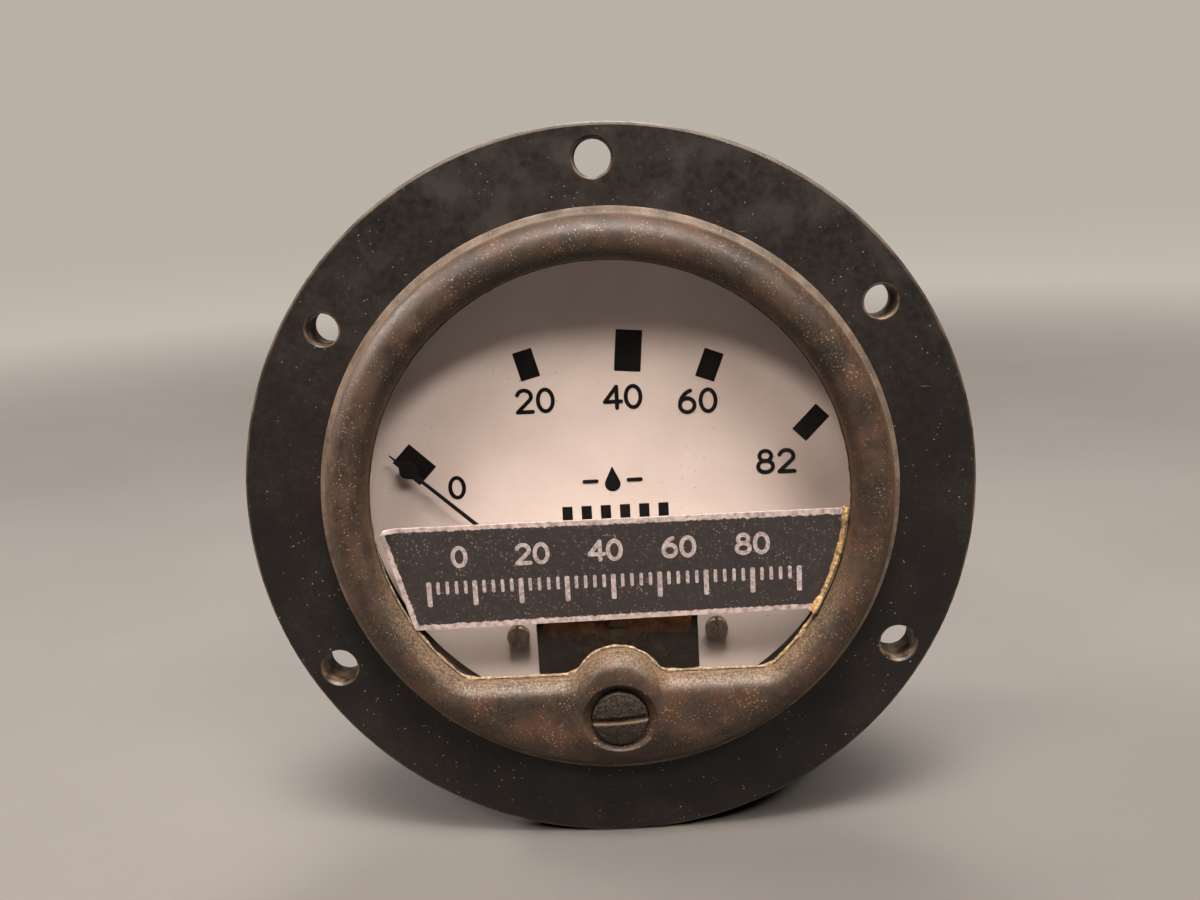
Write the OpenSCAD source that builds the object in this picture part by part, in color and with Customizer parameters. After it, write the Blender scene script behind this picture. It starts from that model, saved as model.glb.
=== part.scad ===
// Round panel fuel gauge: a moving-coil indicator behind a flush mounting flange.
// Every piece is drawn face up: x to the right of the dial, y up the dial, z out of the dial.
// z = 0 is the back face of the flange, which bears on the panel. stand() turns it upright,
// so that the gauge faces -Y, its top is +Z and its barrel runs back along +Y. Millimetres.

/* [Mounting flange] */
// Outside diameter of the flange
flange_d = 88.9; // [86:0.1:94]
// Thickness of the flange
flange_t = 5.3; // [4.8:0.1:6.2]
// Rounding of the flange's front edge
flange_edge_r = 0.4; // [0.1:0.1:1]
// Circle of the three panel screw holes
panel_circle_d = 80.96; // [79:0.02:81.6]
// Diameter of a panel screw hole
panel_hole_d = 4.4; // [3.6:0.1:5]
// Circle of the two upper side holes
side_circle_d = 79.6; // [79:0.1:81]
// Angle of each upper side hole from the top
side_hole_angle = 55.9; // [48:0.1:62]
// Diameter of an upper side hole
side_hole_d = 3.9; // [3.4:0.1:4.4]
// Chamfer at the mouth of each hole
hole_chamfer = 0.3; // [0.1:0.05:0.5]

/* [Case barrel] */
// Outside diameter of the barrel
barrel_d = 69.85; // [69:0.05:71.5]
// Wall of the barrel
barrel_wall = 2.9; // [2.6:0.1:3.1]
// Depth of the barrel behind the panel
barrel_depth = 41.3; // [40.5:0.1:48]
// Thickness of the back wall
back_wall = 3; // [2.6:0.1:3.4]
// Chamfer round the back of the barrel
barrel_chamfer = 1.4; // [0.5:0.1:2]
// Distance of the three movement screws inside the case bore
case_post_inset = 5; // [4.6:0.1:5.6]
// Diameter of a moulded post for a movement screw
case_post_d = 6.4; // [6:0.1:7]

/* [Bezel] */
// Gap between the bezel's skirt and the case bore
skirt_clearance = 0.1; // [0.05:0.01:0.15]
// Wall of the skirt that enters the case
skirt_wall = 1.1; // [0.9:0.05:1.2]
// Depth of the skirt below the flange's front face
skirt_depth = 4.3; // [4:0.1:4.4]
// How far the bezel's foot reaches over the flange
bezel_foot = 3; // [2.4:0.1:3.4]
// Height of the thin lip at the foot
lip_h = 1; // [0.6:0.1:1.4]
// Width of the ledge on the lip
lip_ledge = 0.7; // [0.4:0.1:1]
// Height of the roll's crest above the flange
crest_h = 4.7; // [4.2:0.1:5.2]
// Height of the window's edge above the flange
rim_h = 2.35; // [2.2:0.05:2.8]
// Thickness of the rim over the glass
rim_t = 0.6; // [0.4:0.05:0.8]
// Width of the roll's outer shoulder on the plain ring
shoulder_w = 3.2; // [2.6:0.1:3.6]
// Width of the roll's inner slope
slope_w = 2.5; // [2:0.1:3]
// Height of the window's flat bottom above the zero screw's axis
flat_rise = 4.6; // [4.4:0.05:5]
// Rounding of the window's two bottom corners
corner_r = 3.2; // [2:0.1:4]
// Height of the lobe over the zero screw above the flat bottom
lobe_h = 3.5; // [3:0.1:3.9]
// Radius of the lobe's crown
lobe_r = 5.6; // [5:0.1:6]
// Rounding where the lobe meets the flat bottom
lobe_fillet = 2.4; // [2:0.1:3]
// Extra height of the dome around the zero screw
dome_h = 0.8; // [0.4:0.1:1.2]
// Radius at which the dome has died away
dome_foot_r = 7; // [6.4:0.1:7.6]

/* [Window] */
// Thickness of the glass
glass_t = 1.6; // [1.4:0.1:1.8]
// Gap round the edge of the glass
glass_clearance = 0.2; // [0.1:0.05:0.3]
// Overlap of the rim over the glass
glass_lap = 1.6; // [1.3:0.1:1.8]
// Thickness of the gasket between rim and glass
gasket_t = 0.3; // [0.2:0.05:0.4]
// Thickness of the spring ring that holds the glass
snap_ring_t = 0.7; // [0.5:0.05:0.9]
// Depth of the spring ring's groove in the skirt
snap_groove = 0.4; // [0.3:0.05:0.5]

/* [Placard] */
// Thickness of the placard
placard_t = 0.4; // [0.3:0.05:0.6]
// Height of the placard's lower edge above the window's flat bottom
placard_rise = 6.9; // [6.4:0.1:7.6]
// Height of the placard
placard_h = 13.1; // [12:0.1:14]

/* [Zero adjuster] */
// Distance of the zero screw's axis inside the barrel's outside
zero_inset = 8.3; // [8.1:0.05:8.6]
// Distance of the zero screw's axis below the needle's pivot
zero_drop = 7.1; // [7:0.05:7.3]
// Diameter of the zero screw's head
zero_head_d = 6.9; // [6.5:0.1:7.2]
// Diameter of the recess around the head
zero_recess_d = 8.7; // [8.2:0.1:9]
// Depth of the recess below the dome
zero_recess_depth = 1.9; // [1.6:0.1:2.2]
// Diameter of the zero screw's shank
zero_shank_d = 3.1; // [3:0.05:3.3]
// Running clearance of the shank and of the adjuster ring, radial
running_gap = 0.05; // [0.03:0.01:0.08]
// Throw of the crank pin
crank_throw = 1; // [0.9:0.05:1.05]
// Diameter of the crank pin
crank_pin_d = 0.9; // [0.8:0.05:0.95]
// Gap on each side of the crank pin in the fork
fork_gap = 0.15; // [0.1:0.01:0.2]

/* [Dial] */
// Depth of the dial's face below the flange's front
dial_depth = 6.5; // [6.2:0.1:7]
// Thickness of the dial plate
dial_t = 0.8; // [0.6:0.1:1]
// Gap between the dial's edge and the case
dial_gap = 1; // [0.7:0.1:1.3]
// Width of the opening in the dial
cutout_w = 21.1; // [20.5:0.1:22]
// Height of the opening's upper edge above the pivot
cutout_rise = 9; // [8.6:0.1:9.4]
// Spacing of the two dial screws
dial_screw_spacing = 25.8; // [25.4:0.1:27]
// Diameter of a dial screw's head
dial_screw_head_d = 2.9; // [2.6:0.1:3.2]

/* [Needle] */
// Angle at which the needle rests, left of the top
rest_angle = 47.4; // [46:0.1:49]
// Distance from the pivot to the needle's tip
needle_l = 37.2; // [35:0.1:38]
// Height of the needle over the dial
needle_h = 1.5; // [1.2:0.1:2]
// Thickness of the needle
needle_t = 0.3; // [0.25:0.05:0.4]
// Length of the balance tail
tail_l = 9.3; // [8.8:0.1:9.5]
// Length of each cross arm
cross_l = 6; // [5.6:0.1:6.3]

/* [Movement] */
// Diameter of the soft-iron core
core_d = 12.4; // [12:0.1:12.8]
// Length of the core and thickness of the magnet
core_l = 10.5; // [10:0.1:11]
// Air gap from the core to the bore of the pole pieces
air_gap = 2.5; // [2.4:0.05:2.7]
// Running gap between the core and the coil former
coil_gap = 0.5; // [0.45:0.01:0.6]
// Thickness of the former's frame
former_t = 0.35; // [0.3:0.05:0.4]
// Build-up of the winding on the former
winding_t = 1; // [0.9:0.05:1.05]
// Width of the coil across its sides
coil_w = 4; // [3.6:0.1:4.4]
// Width of the magnet's ring
magnet_w = 8.5; // [7.5:0.1:9]
// Gap between the magnet and the case
magnet_gap = 2.5; // [2.3:0.1:3]
// Thickness of the movement plate
plate_t = 1.5; // [1.3:0.1:1.8]
// Thickness of the two bridges
bridge_t = 1.2; // [1:0.1:1.4]
// Thickness of the hairspring's strip
spring_t = 0.16; // [0.1:0.01:0.18]
// Height of the hairspring's strip
spring_h = 0.5; // [0.4:0.05:0.6]
// Distance between turns of the hairspring
spring_pitch = 0.66; // [0.62:0.01:0.7]
// Turns in each hairspring
spring_turns = 5; // [4:0.5:5]

/* [Terminals] */
// Diameter of a terminal stud
stud_d = 6.35; // [6:0.05:6.4]
// Distance between the two studs
stud_spacing = 38.1; // [37.5:0.1:38.5]
// Length of a stud outside the back wall
stud_l = 16; // [14:0.5:19]
// Width across the flats of a terminal nut
nut_af = 11.1; // [10.8:0.1:11.4]
// Thickness of a terminal nut
nut_t = 3.2; // [2.8:0.1:3.6]

/* [Hidden] */

$fn = 96;
eps = 0.01;

// Radii of the case and of what fits in it, from the outside in
barrel_r = barrel_d / 2;
bore_r = barrel_r - barrel_wall;
skirt_r = bore_r - skirt_clearance;
pocket_r = skirt_r - skirt_wall;
glass_r = pocket_r - glass_clearance;
window_r = glass_r - glass_lap;
bezel_r = bore_r + bezel_foot;
foot_r = bezel_r - lip_ledge;
post_radius = bore_r - case_post_inset;
post_angles = [90, 210, 330];

// Heights of the front, from the flange up
front_z = flange_t;
seat_z = front_z + rim_h - rim_t;
glass_top = seat_z - gasket_t;
glass_bottom = glass_top - glass_t;
skirt_end = front_z - skirt_depth;

// Zero screw, needle pivot and crank, from the barrel's outside in
zero_y = zero_inset - barrel_r;
pivot_y = zero_y + zero_drop;
crank_l = zero_drop + crank_throw;

// The window's flat bottom, its lobe and where their arcs meet
chord_y = zero_y + flat_rise;
chord_lap = 0.9;
lobe_top = chord_y + lobe_h;
lobe_y = lobe_top - lobe_r;
lobe_x = sqrt(pow(lobe_r + lobe_fillet, 2) - pow(chord_y + lobe_fillet - lobe_y, 2));
corner_x = sqrt(pow(window_r - corner_r, 2) - pow(chord_y + corner_r, 2));
glass_chord = chord_y - chord_lap;

// Snap joint between the skirt and the case: lugs and their groove
snap_z = skirt_end + 1.4;
snap_h = 0.8;
snap_reach = 0.4;
snap_play = 0.2;
snap_w = 6;

// Hollow behind the chin, and the boss in it for the bush
chin_hollow_h = 2.2;
chin_rib = 1;
bush_r = 2.3;
boss_wall = 1.3;
boss_low = skirt_end + 1.6;
bush_low = skirt_end + 1.2;

// Zero screw's head in its recess, and the clip behind the bush
recess_z = front_z + crest_h + dome_h - zero_recess_depth;
head_low = recess_z + 0.2;
head_t = 1.5;
head_crown_r = 14;
zero_slot = 0.9;
zero_slot_angle = 3;
clip_groove = 0.35;
clip_t = 0.6;
clip_r = 2.6;
clip_mouth = 1.6;
clip_gap = 0.3;
clip_play = 0.05;
shank_over = 0.5;

// Dial and needle
dial_z = front_z - dial_depth;
dial_back = dial_z - dial_t;
dial_r = bore_r - dial_gap;
dial_rim = 1.7;
needle_z = dial_z + needle_h;
dial_screw_x = dial_screw_spacing / 2;
spacer_h = 1;
spacer_r = 1.7;

// Threads, and screw heads as shares of the thread
m2 = 0.95;
m3 = 1.5;
thread_play = 0.1;
head_share = 1.8;
screw_grip = 2.5;

// Front bridge and what sits on its boss
bridge_top = dial_back - spacer_h;
bridge_back = bridge_top - bridge_t;
bridge_w = 4.2;
bridge_disc_r = 3.2;
bridge_reach = 9.8;
bridge_waist = 2;
bridge_end_w = 2.8;
bridge_end_r = 0.7;
bridge_leg_t = 0.8;
boss_r = 1.9;
boss_h = 1.2;
jewel_r = 1.2;
jewel_l = 3.3;
jewel_slot = 0.5;
jewel_slot_depth = 0.7;
lock_r = 1.9;
lock_t = 0.8;
ring_t = 0.6;
ring_w = 1.3;
ring_lap = 0.3;
ring_z = bridge_back - boss_h + ring_lap;
fork_wall = 0.7;
fork_over = 0.9;
fork_depth = 1.4;
pin_over = 0.3;
crank_end = ring_z - ring_t - pin_over;
hub_drop = 3.2;
hub_z = bridge_back - hub_drop;
hub_h = 0.9;
hub_r = 1.5;
hub_gap = 0.3;

// Needle's arms and the weights on them
arm_w = 0.9;
arm_z = hub_z - needle_t;
arm_sink = 0.2;
rise_in = 5.6;
rise_out = 7.6;
stem_w = 0.6;
stem_l = 6;
neck_w = 0.4;
tip_w = 0.1;
spade_back = 2.9;
spade_w = 2.3;
spade_in = 1.7;
spade_out = 1.4;
cross_w = 0.3;
tail_weight_l = 3.6;
tail_weight_r = 0.45;
cross_weight_l = 1.6;
cross_weight_r = 0.4;
weight_gap = 0.2;

// Core, coil and magnet
core_r = core_d / 2;
pole_bore_r = core_r + air_gap;
coil_front = hub_z - hub_h - hub_gap;
turn_t = former_t + winding_t;
end_gap = 0.7;
core_top = coil_front - turn_t - end_gap;
core_bottom = core_top - core_l;
coil_back = core_bottom - end_gap - turn_t;
former_in = core_r + coil_gap;
former_out = former_in + former_t;
former_pad = 3;
coil_out = former_out + winding_t;
winding_inset = 0.3;
magnet_r = bore_r - magnet_gap;
magnet_mid = magnet_r - magnet_w / 2;
magnet_angles = [30, 150];
pole_top = 8.2;
pole_low = -7.6;
pole_inner_x = 5;
pole_gap = 0.2;
pole_screw_x = dial_screw_x + 2.3;
pole_screw_y = 4;
support_w = 4;
support_t = 3;
support_bar = 2;
support_span = 26;
support_sink = 0.6;
support_play = 0.02;
support_screw_x = 10.5;
support_head_r = 1.4;
support_grip = 4.5;
support_z = (core_top + core_bottom) / 2 - support_t / 2;

// Movement plate, rear bridge, rear spring and the case behind them
plate_top = core_bottom;
plate_back = plate_top - plate_t;
plate_lap = 0.6;
plate_play = 0.4;
lead_slot_w = 14;
lead_slot_h = 3;
rear_gap = 3.4;
rear_top = coil_back - rear_gap;
rear_back = rear_top - bridge_t;
rear_spring_drop = 1.5;
rear_spring_z = coil_back - rear_spring_drop;
back_z = -barrel_depth;
wall_z = back_z + back_wall;
back_recess_r = 8;
back_recess = 0.8;
screw_recess = 1.8;
screw_recess_r = 3.2;

// Staffs, jewel cups, collets and hairsprings
staff_r = 0.5;
tip_r = 0.3;
tip_l = 0.6;
cup_r = 0.36;
cup_depth = 0.7;
cup_gap = 0.15;
front_cup = bridge_back - boss_h - 0.1;
rear_cup = rear_top + 0.8;
collet_r = 0.8;
collet_lap = 0.05;
front_spring_gap = 0.75;
front_spring_z = ring_z - ring_t - front_spring_gap;
spring_r0 = collet_r + 0.3 + spring_t;
spring_r1 = spring_r0 + spring_pitch * spring_turns;
stud_post_r = 0.45;
stud_post_x = spring_r1 + spring_t / 2 + stud_post_r;
stud_post_over = 0.1;

// Stops, past the ends of the swing and of the zero adjuster's reach
stop_radius = 15;
stop_r = 0.7;
stop_over = 1;
swing_low = 2;
swing_high = 93;
zero_reach = 5.4;
stop_margin = 4.6;
low_stop = rest_angle + swing_low + zero_reach + stop_margin;
high_stop = swing_high + zero_reach + stop_margin - rest_angle;

// Resistor on the back of the plate
resistor_y = 12;
bobbin_l = 9;
bobbin_r = 6;
bobbin_core_r = 3.5;
bobbin_cheek = 1;
resistor_r = 5.4;
bobbin_low = plate_back - bobbin_l;

// Terminals
stud_r = stud_d / 2;
stud_x = stud_spacing / 2;
thread_depth = 0.29;
stud_pitch_r = stud_r - thread_depth;
stud_head = 3;
stud_chamfer = 0.6;
washer_t = 0.8;
clamp_washer_r = 6.8;
wire_washer_r = 6.4;
washer_play = 0.02;
nut_chamfer = 0.5;
nut_gap = 0.1;
terminal_pad = 1.2;
terminal_pad_w = 4.4;
lug_t = 0.8;
lug_r = 5.2;
lug_w = 3.2;
lug_l = 9;
lug_eye_y = 7.4;
lug_eye_r = 0.7;
pad_z = back_z - terminal_pad;
wire_z = pad_z - washer_t - nut_t - nut_gap;
free_end_z = wire_z - washer_t - nut_t - nut_gap;
lead_r = 0.45;

// Turns a piece that is drawn face up so that it stands upright and faces -Y
module stand() {
    rotate([90, 0, 0]) children();
}

// Moves to the needle's pivot
module at_pivot() {
    translate([0, pivot_y, 0]) children();
}

// Repeats its child at x to the left and to the right
module pair(x) {
    for (s = [-1, 1]) translate([s * x, 0, 0]) children();
}

// Repeats its child at radius r on the given angles
module ring_of(r, angles) {
    for (a = angles) rotate([0, 0, a]) translate([r, 0, 0]) children();
}

// Cylinder from height a to height b
module drum(r, a, b) {
    translate([0, 0, a]) cylinder(r = r, h = b - a);
}

// Pipe from height a to height b
module pipe(r_out, r_in, a, b) {
    difference() {
        drum(r_out, a, b);
        drum(r_in, a - 1, b + 1);
    }
}

// Box from height a to height b, centred in x and y
module bar(w, d, a, b) {
    translate([-w / 2, -d / 2, a]) cube([w, d, b - a]);
}

// Hole through the flange with a chamfered mouth
module flange_hole(d, c) {
    drum(d / 2, -1, front_z + 1);
    translate([0, 0, front_z - c]) cylinder(r1 = d / 2, r2 = d / 2 + c + eps, h = c + eps);
}

// Cheese-head screw of thread radius m whose head sits on height z, with its slot at angle a
module slotted_screw(m, shank_l, z, a = 0, head_r = 0) {
    r = head_r > 0 ? head_r : m * head_share;
    head_h = m * 1.05;
    bevel = m * 0.15;
    difference() {
        union() {
            drum(r, z, z + head_h - bevel);
            translate([0, 0, z + head_h - bevel]) cylinder(r1 = r, r2 = r - bevel, h = bevel);
            drum(m, z - shank_l, z + eps);
        }
        rotate([0, 0, a]) bar(3 * r, m * 0.52, z + head_h * 0.5, z + head_h + 1);
    }
}

// Hexagonal nut between heights a and b, chamfered at both ends
module hex_nut(af, bore, a, b) {
    flat_r = af / 2;
    c = nut_chamfer;
    difference() {
        intersection() {
            translate([0, 0, a]) cylinder(d = af / cos(30), h = b - a, $fn = 6);
            rotate_extrude() polygon([[0, a], [flat_r, a], [flat_r + 2 * c, a + c],
                [flat_r + 2 * c, b - c], [flat_r, b], [0, b]]);
        }
        drum(bore, a - 1, b + 1);
    }
}

// Points on an arc from angle a0 to a1, without its last point
function arc(cx, cy, r, a0, a1, n) =
    [for (i = [0 : n - 1]) let (a = a0 + (a1 - a0) * i / n) [cx + r * cos(a), cy + r * sin(a)]];

// Points on a line from p to q, without its last point
function run(p, q, n) = [for (i = [0 : n - 1]) p + (q - p) * i / n];

// Outline of the window, anticlockwise from the right end of the flat bottom
corner_a = atan2(chord_y + corner_r, corner_x);
crown_a = atan2(chord_y + lobe_fillet - lobe_y, lobe_x);
window_outline = concat(
    arc(corner_x, chord_y + corner_r, corner_r, -90, corner_a, 6),
    arc(0, 0, window_r, corner_a, 180 - corner_a, 60),
    arc(-corner_x, chord_y + corner_r, corner_r, 180 - corner_a, 270, 6),
    run([-corner_x, chord_y], [-lobe_x, chord_y], 8),
    arc(-lobe_x, chord_y + lobe_fillet, lobe_fillet, -90, -crown_a, 5),
    arc(0, lobe_y, lobe_r, 180 - crown_a, crown_a, 14),
    arc(lobe_x, chord_y + lobe_fillet, lobe_fillet, 180 + crown_a, 270, 5),
    run([lobe_x, chord_y], [corner_x, chord_y], 8)
);
window_n = len(window_outline);

// Smaller of a and b, with the corner between them rounded over k
function soft_min(a, b, k) = let (h = max(k - abs(a - b), 0) / k) min(a, b) - h * h * k / 4;

// Quarter of an ellipse, 0 at its foot and 1 from w onwards
function quarter(d, w) = let (u = min(max(d, 0), w) / w) sqrt(1 - (1 - u) * (1 - u));

// Smooth step from 1 at a to 0 at b
function fall(d, a, b) = let (u = min(max((d - a) / (b - a), 0), 1)) 1 - u * u * (3 - 2 * u);

// Rise of the dome round the zero screw, which runs up into the lobe
function dome(p) =
    let (d = norm([p.x, max(zero_y - p.y, p.y - lobe_y, 0)]))
    dome_h * fall(d, zero_recess_d / 2, dome_foot_r);

// Cosine between a ray from the centre and the window's edge normal at point i
function edge_cos(i) =
    let (a = window_outline[(i + window_n - 1) % window_n],
         b = window_outline[(i + 1) % window_n],
         t = (b - a) / norm(b - a),
         p = window_outline[i] / norm(window_outline[i]))
    abs(p.x * t.y - p.y * t.x);

// Height of the bezel's roll above the flange, at radius r on the ray through window point i:
// an outer shoulder that widens with the chin, and an inner slope down to the window's edge
lip_step = 0.1;
chin_gain = 0.35;
crest_blend = 0.5;
function roll_height(i, r) =
    let (p = window_outline[i],
         inner = norm(p),
         top = crest_h + dome(p / inner * r),
         rim = rim_h + dome(p / inner * r),
         lip = lip_h + lip_step,
         outer_w = shoulder_w + chin_gain * (window_r - inner),
         up = lip + (top - lip) * quarter(foot_r - r, outer_w),
         down = rim + (top - rim) * quarter((r - inner) * edge_cos(i), slope_w))
    soft_min(up, down, crest_blend);

// Point on the ray through window point i, at radius r and height z
function ring_point(i, r, z) =
    let (p = window_outline[i]) [p.x / norm(p) * r, p.y / norm(p) * r, z];

// Stations across the roll from the foot to the window's edge, closer at both ends
roll_n = 13;
function station(i, j) =
    let (p = window_outline[i], inner = norm(p),
         r = foot_r + (inner - foot_r) * (1 - cos(180 * j / roll_n)) / 2)
    ring_point(i, r, front_z + (j == 0 ? lip_h + lip_step
        : j == roll_n ? rim_h + dome(p) : roll_height(i, r)));

// The bezel's mound: a closed loop of rings round the window
module bezel_mound() {
    all_i = [0 : window_n - 1];
    rows = concat(
        [[for (i = all_i) ring_point(i, bezel_r, front_z)]],
        [[for (i = all_i) ring_point(i, bezel_r, front_z + lip_h)]],
        [for (j = [0 : roll_n]) [for (i = all_i) station(i, j)]],
        [[for (i = all_i) ring_point(i, norm(window_outline[i]), front_z)]]
    );
    m = len(rows);
    points = [for (row = rows) for (p = row) p];
    faces = [
        for (j = [0 : m - 1]) for (i = all_i)
            let (k = (i + 1) % window_n, l = (j + 1) % m,
                 a = j * window_n + i, b = j * window_n + k,
                 c = l * window_n + k, d = l * window_n + i)
            each [[a, c, b], [a, d, c]]
    ];
    polyhedron(points = points, faces = faces, convexity = 6);
}

// Half plane above y as a block from height a to height b, wide enough for the case
module above(y, a, b) {
    translate([-flange_d, y, a]) cube([2 * flange_d, 2 * flange_d, b - a]);
}

// Disc cut off below height y on the face
module cut_disc(r, y, a, b) {
    intersection() {
        drum(r, a, b);
        above(y, a - 1, b + 1);
    }
}

// Black phenolic moulding: flange, barrel and back wall in one
module case_moulding() {
    color([0.07, 0.065, 0.06]) stand() difference() {
        union() {
            case_shell();
            ring_of(post_radius, post_angles) drum(case_post_d / 2, wall_z - eps, plate_back);
            pair(stud_x) drum(stud_r + terminal_pad_w, pad_z, back_z + eps);
        }
        ring_of(panel_circle_d / 2, post_angles) flange_hole(panel_hole_d, hole_chamfer);
        ring_of(side_circle_d / 2, [90 - side_hole_angle, 90 + side_hole_angle])
            flange_hole(side_hole_d, hole_chamfer / 2);
        ring_of(post_radius, post_angles) {
            drum(m3 + thread_play, back_z - 1, plate_back + 1);
            drum(screw_recess_r, back_z - 1, back_z + screw_recess);
        }
        pair(stud_x) drum(stud_r + washer_play, pad_z - 1, wall_z + 1);
    }
}

// Turned profile of the moulding, with the groove for the bezel's lugs
module case_shell() {
    flange_r = flange_d / 2;
    e = flange_edge_r;
    groove_r = bore_r + snap_reach + snap_play;
    groove_h = snap_h / 2 + snap_play;
    rotate_extrude() polygon([
        [0, back_z + back_recess], [back_recess_r, back_z + back_recess],
        [back_recess_r + back_recess, back_z], [barrel_r - barrel_chamfer, back_z],
        [barrel_r, back_z + barrel_chamfer], [barrel_r, 0], [flange_r, 0],
        [flange_r, front_z - e], [flange_r - e * 0.3, front_z - e * 0.3], [flange_r - e, front_z],
        [bore_r, front_z], [bore_r, snap_z + groove_h], [groove_r, snap_z + groove_h],
        [groove_r, snap_z - groove_h], [bore_r, snap_z - groove_h], [bore_r, wall_z], [0, wall_z]
    ]);
}

// Bezel: rolled ring, chin and lobe over the zero screw, with a skirt that snaps into the case
module bezel_cover() {
    color([0.28, 0.24, 0.19]) stand() difference() {
        union() {
            bezel_mound();
            pipe(skirt_r, pocket_r, skirt_end, front_z + 0.2);
            for (a = post_angles) rotate([0, 0, a]) bezel_lug();
            intersection() {
                translate([0, zero_y, 0]) drum(bush_r + boss_wall, boss_low, front_z + 1);
                drum(pocket_r + eps, 0, front_z + 2);
            }
        }
        cut_disc(pocket_r, glass_chord - glass_clearance, front_z - 1, seat_z);
        chin_hollow();
        snap_ring_seat();
        translate([0, zero_y, 0]) {
            drum(bush_r, 0, recess_z + 1);
            drum(zero_recess_d / 2, recess_z, recess_z + 2 * zero_recess_depth);
        }
    }
}

// Groove in the skirt that holds the spring ring below the glass
module snap_ring_seat() {
    pipe(pocket_r + snap_groove, pocket_r - eps, glass_bottom - snap_ring_t - 0.1, glass_bottom);
}

// Hollow behind the chin, below the rib along the glass and round the boss for the bush
module chin_hollow() {
    top = front_z + chin_hollow_h;
    difference() {
        drum(pocket_r, front_z - 1, top);
        above(glass_chord - glass_clearance - chin_rib, front_z - 2, top + 1);
        translate([0, zero_y, 0]) drum(bush_r + boss_wall, front_z - 2, top + 1);
    }
}

// One of the three lugs on the skirt
module bezel_lug() {
    intersection() {
        pipe(skirt_r + snap_reach, pocket_r + eps, snap_z - snap_h / 2, snap_z + snap_h / 2);
        translate([0, -snap_w / 2, skirt_end]) cube([2 * skirt_r, snap_w, skirt_depth]);
    }
}

// Thin dark gasket that beds the glass against the rim
module window_gasket() {
    color([0.05, 0.05, 0.05]) stand() difference() {
        cut_disc(glass_r, glass_chord, glass_top, seat_z);
        translate([0, 0, glass_top - 1]) linear_extrude(gasket_t + 2)
            polygon([for (p = window_outline) p * (1 - gasket_show / window_r)]);
    }
}
gasket_show = 0.1;

// Flat window glass, cut straight below to clear the zero screw
module window_glass() {
    color([0.75, 0.85, 0.85, 0.3]) stand() cut_disc(glass_r, glass_chord, glass_bottom, glass_top);
}

// Open spring ring in the skirt's groove, below the glass
module glass_snap_ring() {
    low = glass_bottom - snap_ring_t;
    color([0.45, 0.42, 0.36]) stand() difference() {
        pipe(pocket_r + snap_groove - 0.1, pocket_r - snap_ring_w, low, glass_bottom);
        translate([-snap_ring_mouth / 2, -2 * pocket_r, low - 1])
            cube([snap_ring_mouth, 2 * pocket_r, snap_ring_t + 2]);
    }
}
snap_ring_w = 1;
snap_ring_mouth = 28;

// Black placard stuck on the front of the glass, its ends cut to the window
module placard_plate() {
    low = chord_y + placard_rise;
    top = low + placard_h;
    r = window_r - placard_gap;
    color([0.14, 0.13, 0.14]) stand() intersection() {
        translate([0, 0, glass_top]) linear_extrude(placard_t) polygon([
            [placard_nick - r, top - placard_nick], [2 * placard_nick - r, top], [r, top],
            [r, low + placard_h / 3], [r - placard_cut, low + placard_nick],
            [1.6 * placard_cut - r, low]]);
        drum(r, glass_top - 1, glass_top + placard_t + 1);
    }
}
placard_gap = 0.25;
placard_nick = 0.6;
placard_cut = 2.6;

// Brass bush pressed into the bezel's boss
module zero_bush() {
    color([0.7, 0.55, 0.28]) stand() translate([0, zero_y, 0])
        pipe(bush_r, zero_shank_d / 2 + running_gap, bush_low, recess_z);
}

// Zero screw: slotted domed head, shank through the bush, crank pin at its inner end
module zero_adjust_screw() {
    shank_r = zero_shank_d / 2;
    clip_low = bush_low - clip_gap - clip_t;
    shank_low = clip_low - shank_over;
    head_top = head_low + head_t;
    color([0.16, 0.14, 0.12]) stand() translate([0, zero_y, 0]) difference() {
        union() {
            intersection() {
                drum(zero_head_d / 2, head_low, head_top + 1);
                translate([0, 0, head_top - head_crown_r]) sphere(r = head_crown_r);
            }
            drum(shank_r, shank_low, head_low + eps);
            translate([0, -crank_throw, 0]) drum(crank_pin_d / 2, crank_end, shank_low + eps);
        }
        rotate([0, 0, zero_slot_angle])
            bar(2 * zero_head_d, zero_slot, head_top - zero_slot, head_top + 1);
        pipe(2 * shank_r, shank_r - clip_groove, clip_low, clip_low + clip_t);
    }
}

// Spring clip in the shank's groove, behind the bush
module zero_screw_clip() {
    top = bush_low - clip_gap - clip_play;
    color([0.5, 0.48, 0.42]) stand() translate([0, zero_y, 0]) difference() {
        pipe(clip_r, zero_shank_d / 2 - clip_groove, top - clip_t + 2 * clip_play, top);
        translate([-clip_mouth / 2, 0, top - 2 * clip_t])
            cube([clip_mouth, 2 * clip_r, 3 * clip_t]);
    }
}

// White dial plate with the opening that shows the movement
module dial_plate() {
    low = dial_rim - dial_r;
    color([0.9, 0.88, 0.84]) stand() difference() {
        drum(dial_r, dial_back, dial_z);
        translate([-cutout_w / 2, low, dial_back - 1])
            cube([cutout_w, pivot_y + cutout_rise - low, dial_t + 2]);
        translate([0, pivot_y, 0]) pair(dial_screw_x)
            drum(m2 + thread_play, dial_back - 1, dial_z + 1);
    }
}

// Two slotted screws through the dial and its spacers into the pillars
module dial_screws() {
    color([0.45, 0.4, 0.3]) stand() at_pivot() pair(dial_screw_x)
        slotted_screw(m2, dial_z - bridge_top + screw_grip, dial_z, 90, dial_screw_head_d / 2);
}

// Short tubes between the dial and the pillars
module dial_spacers() {
    color([0.7, 0.55, 0.28]) stand() at_pivot() pair(dial_screw_x)
        pipe(spacer_r, m2 + thread_play, bridge_top, dial_back);
}

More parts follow.
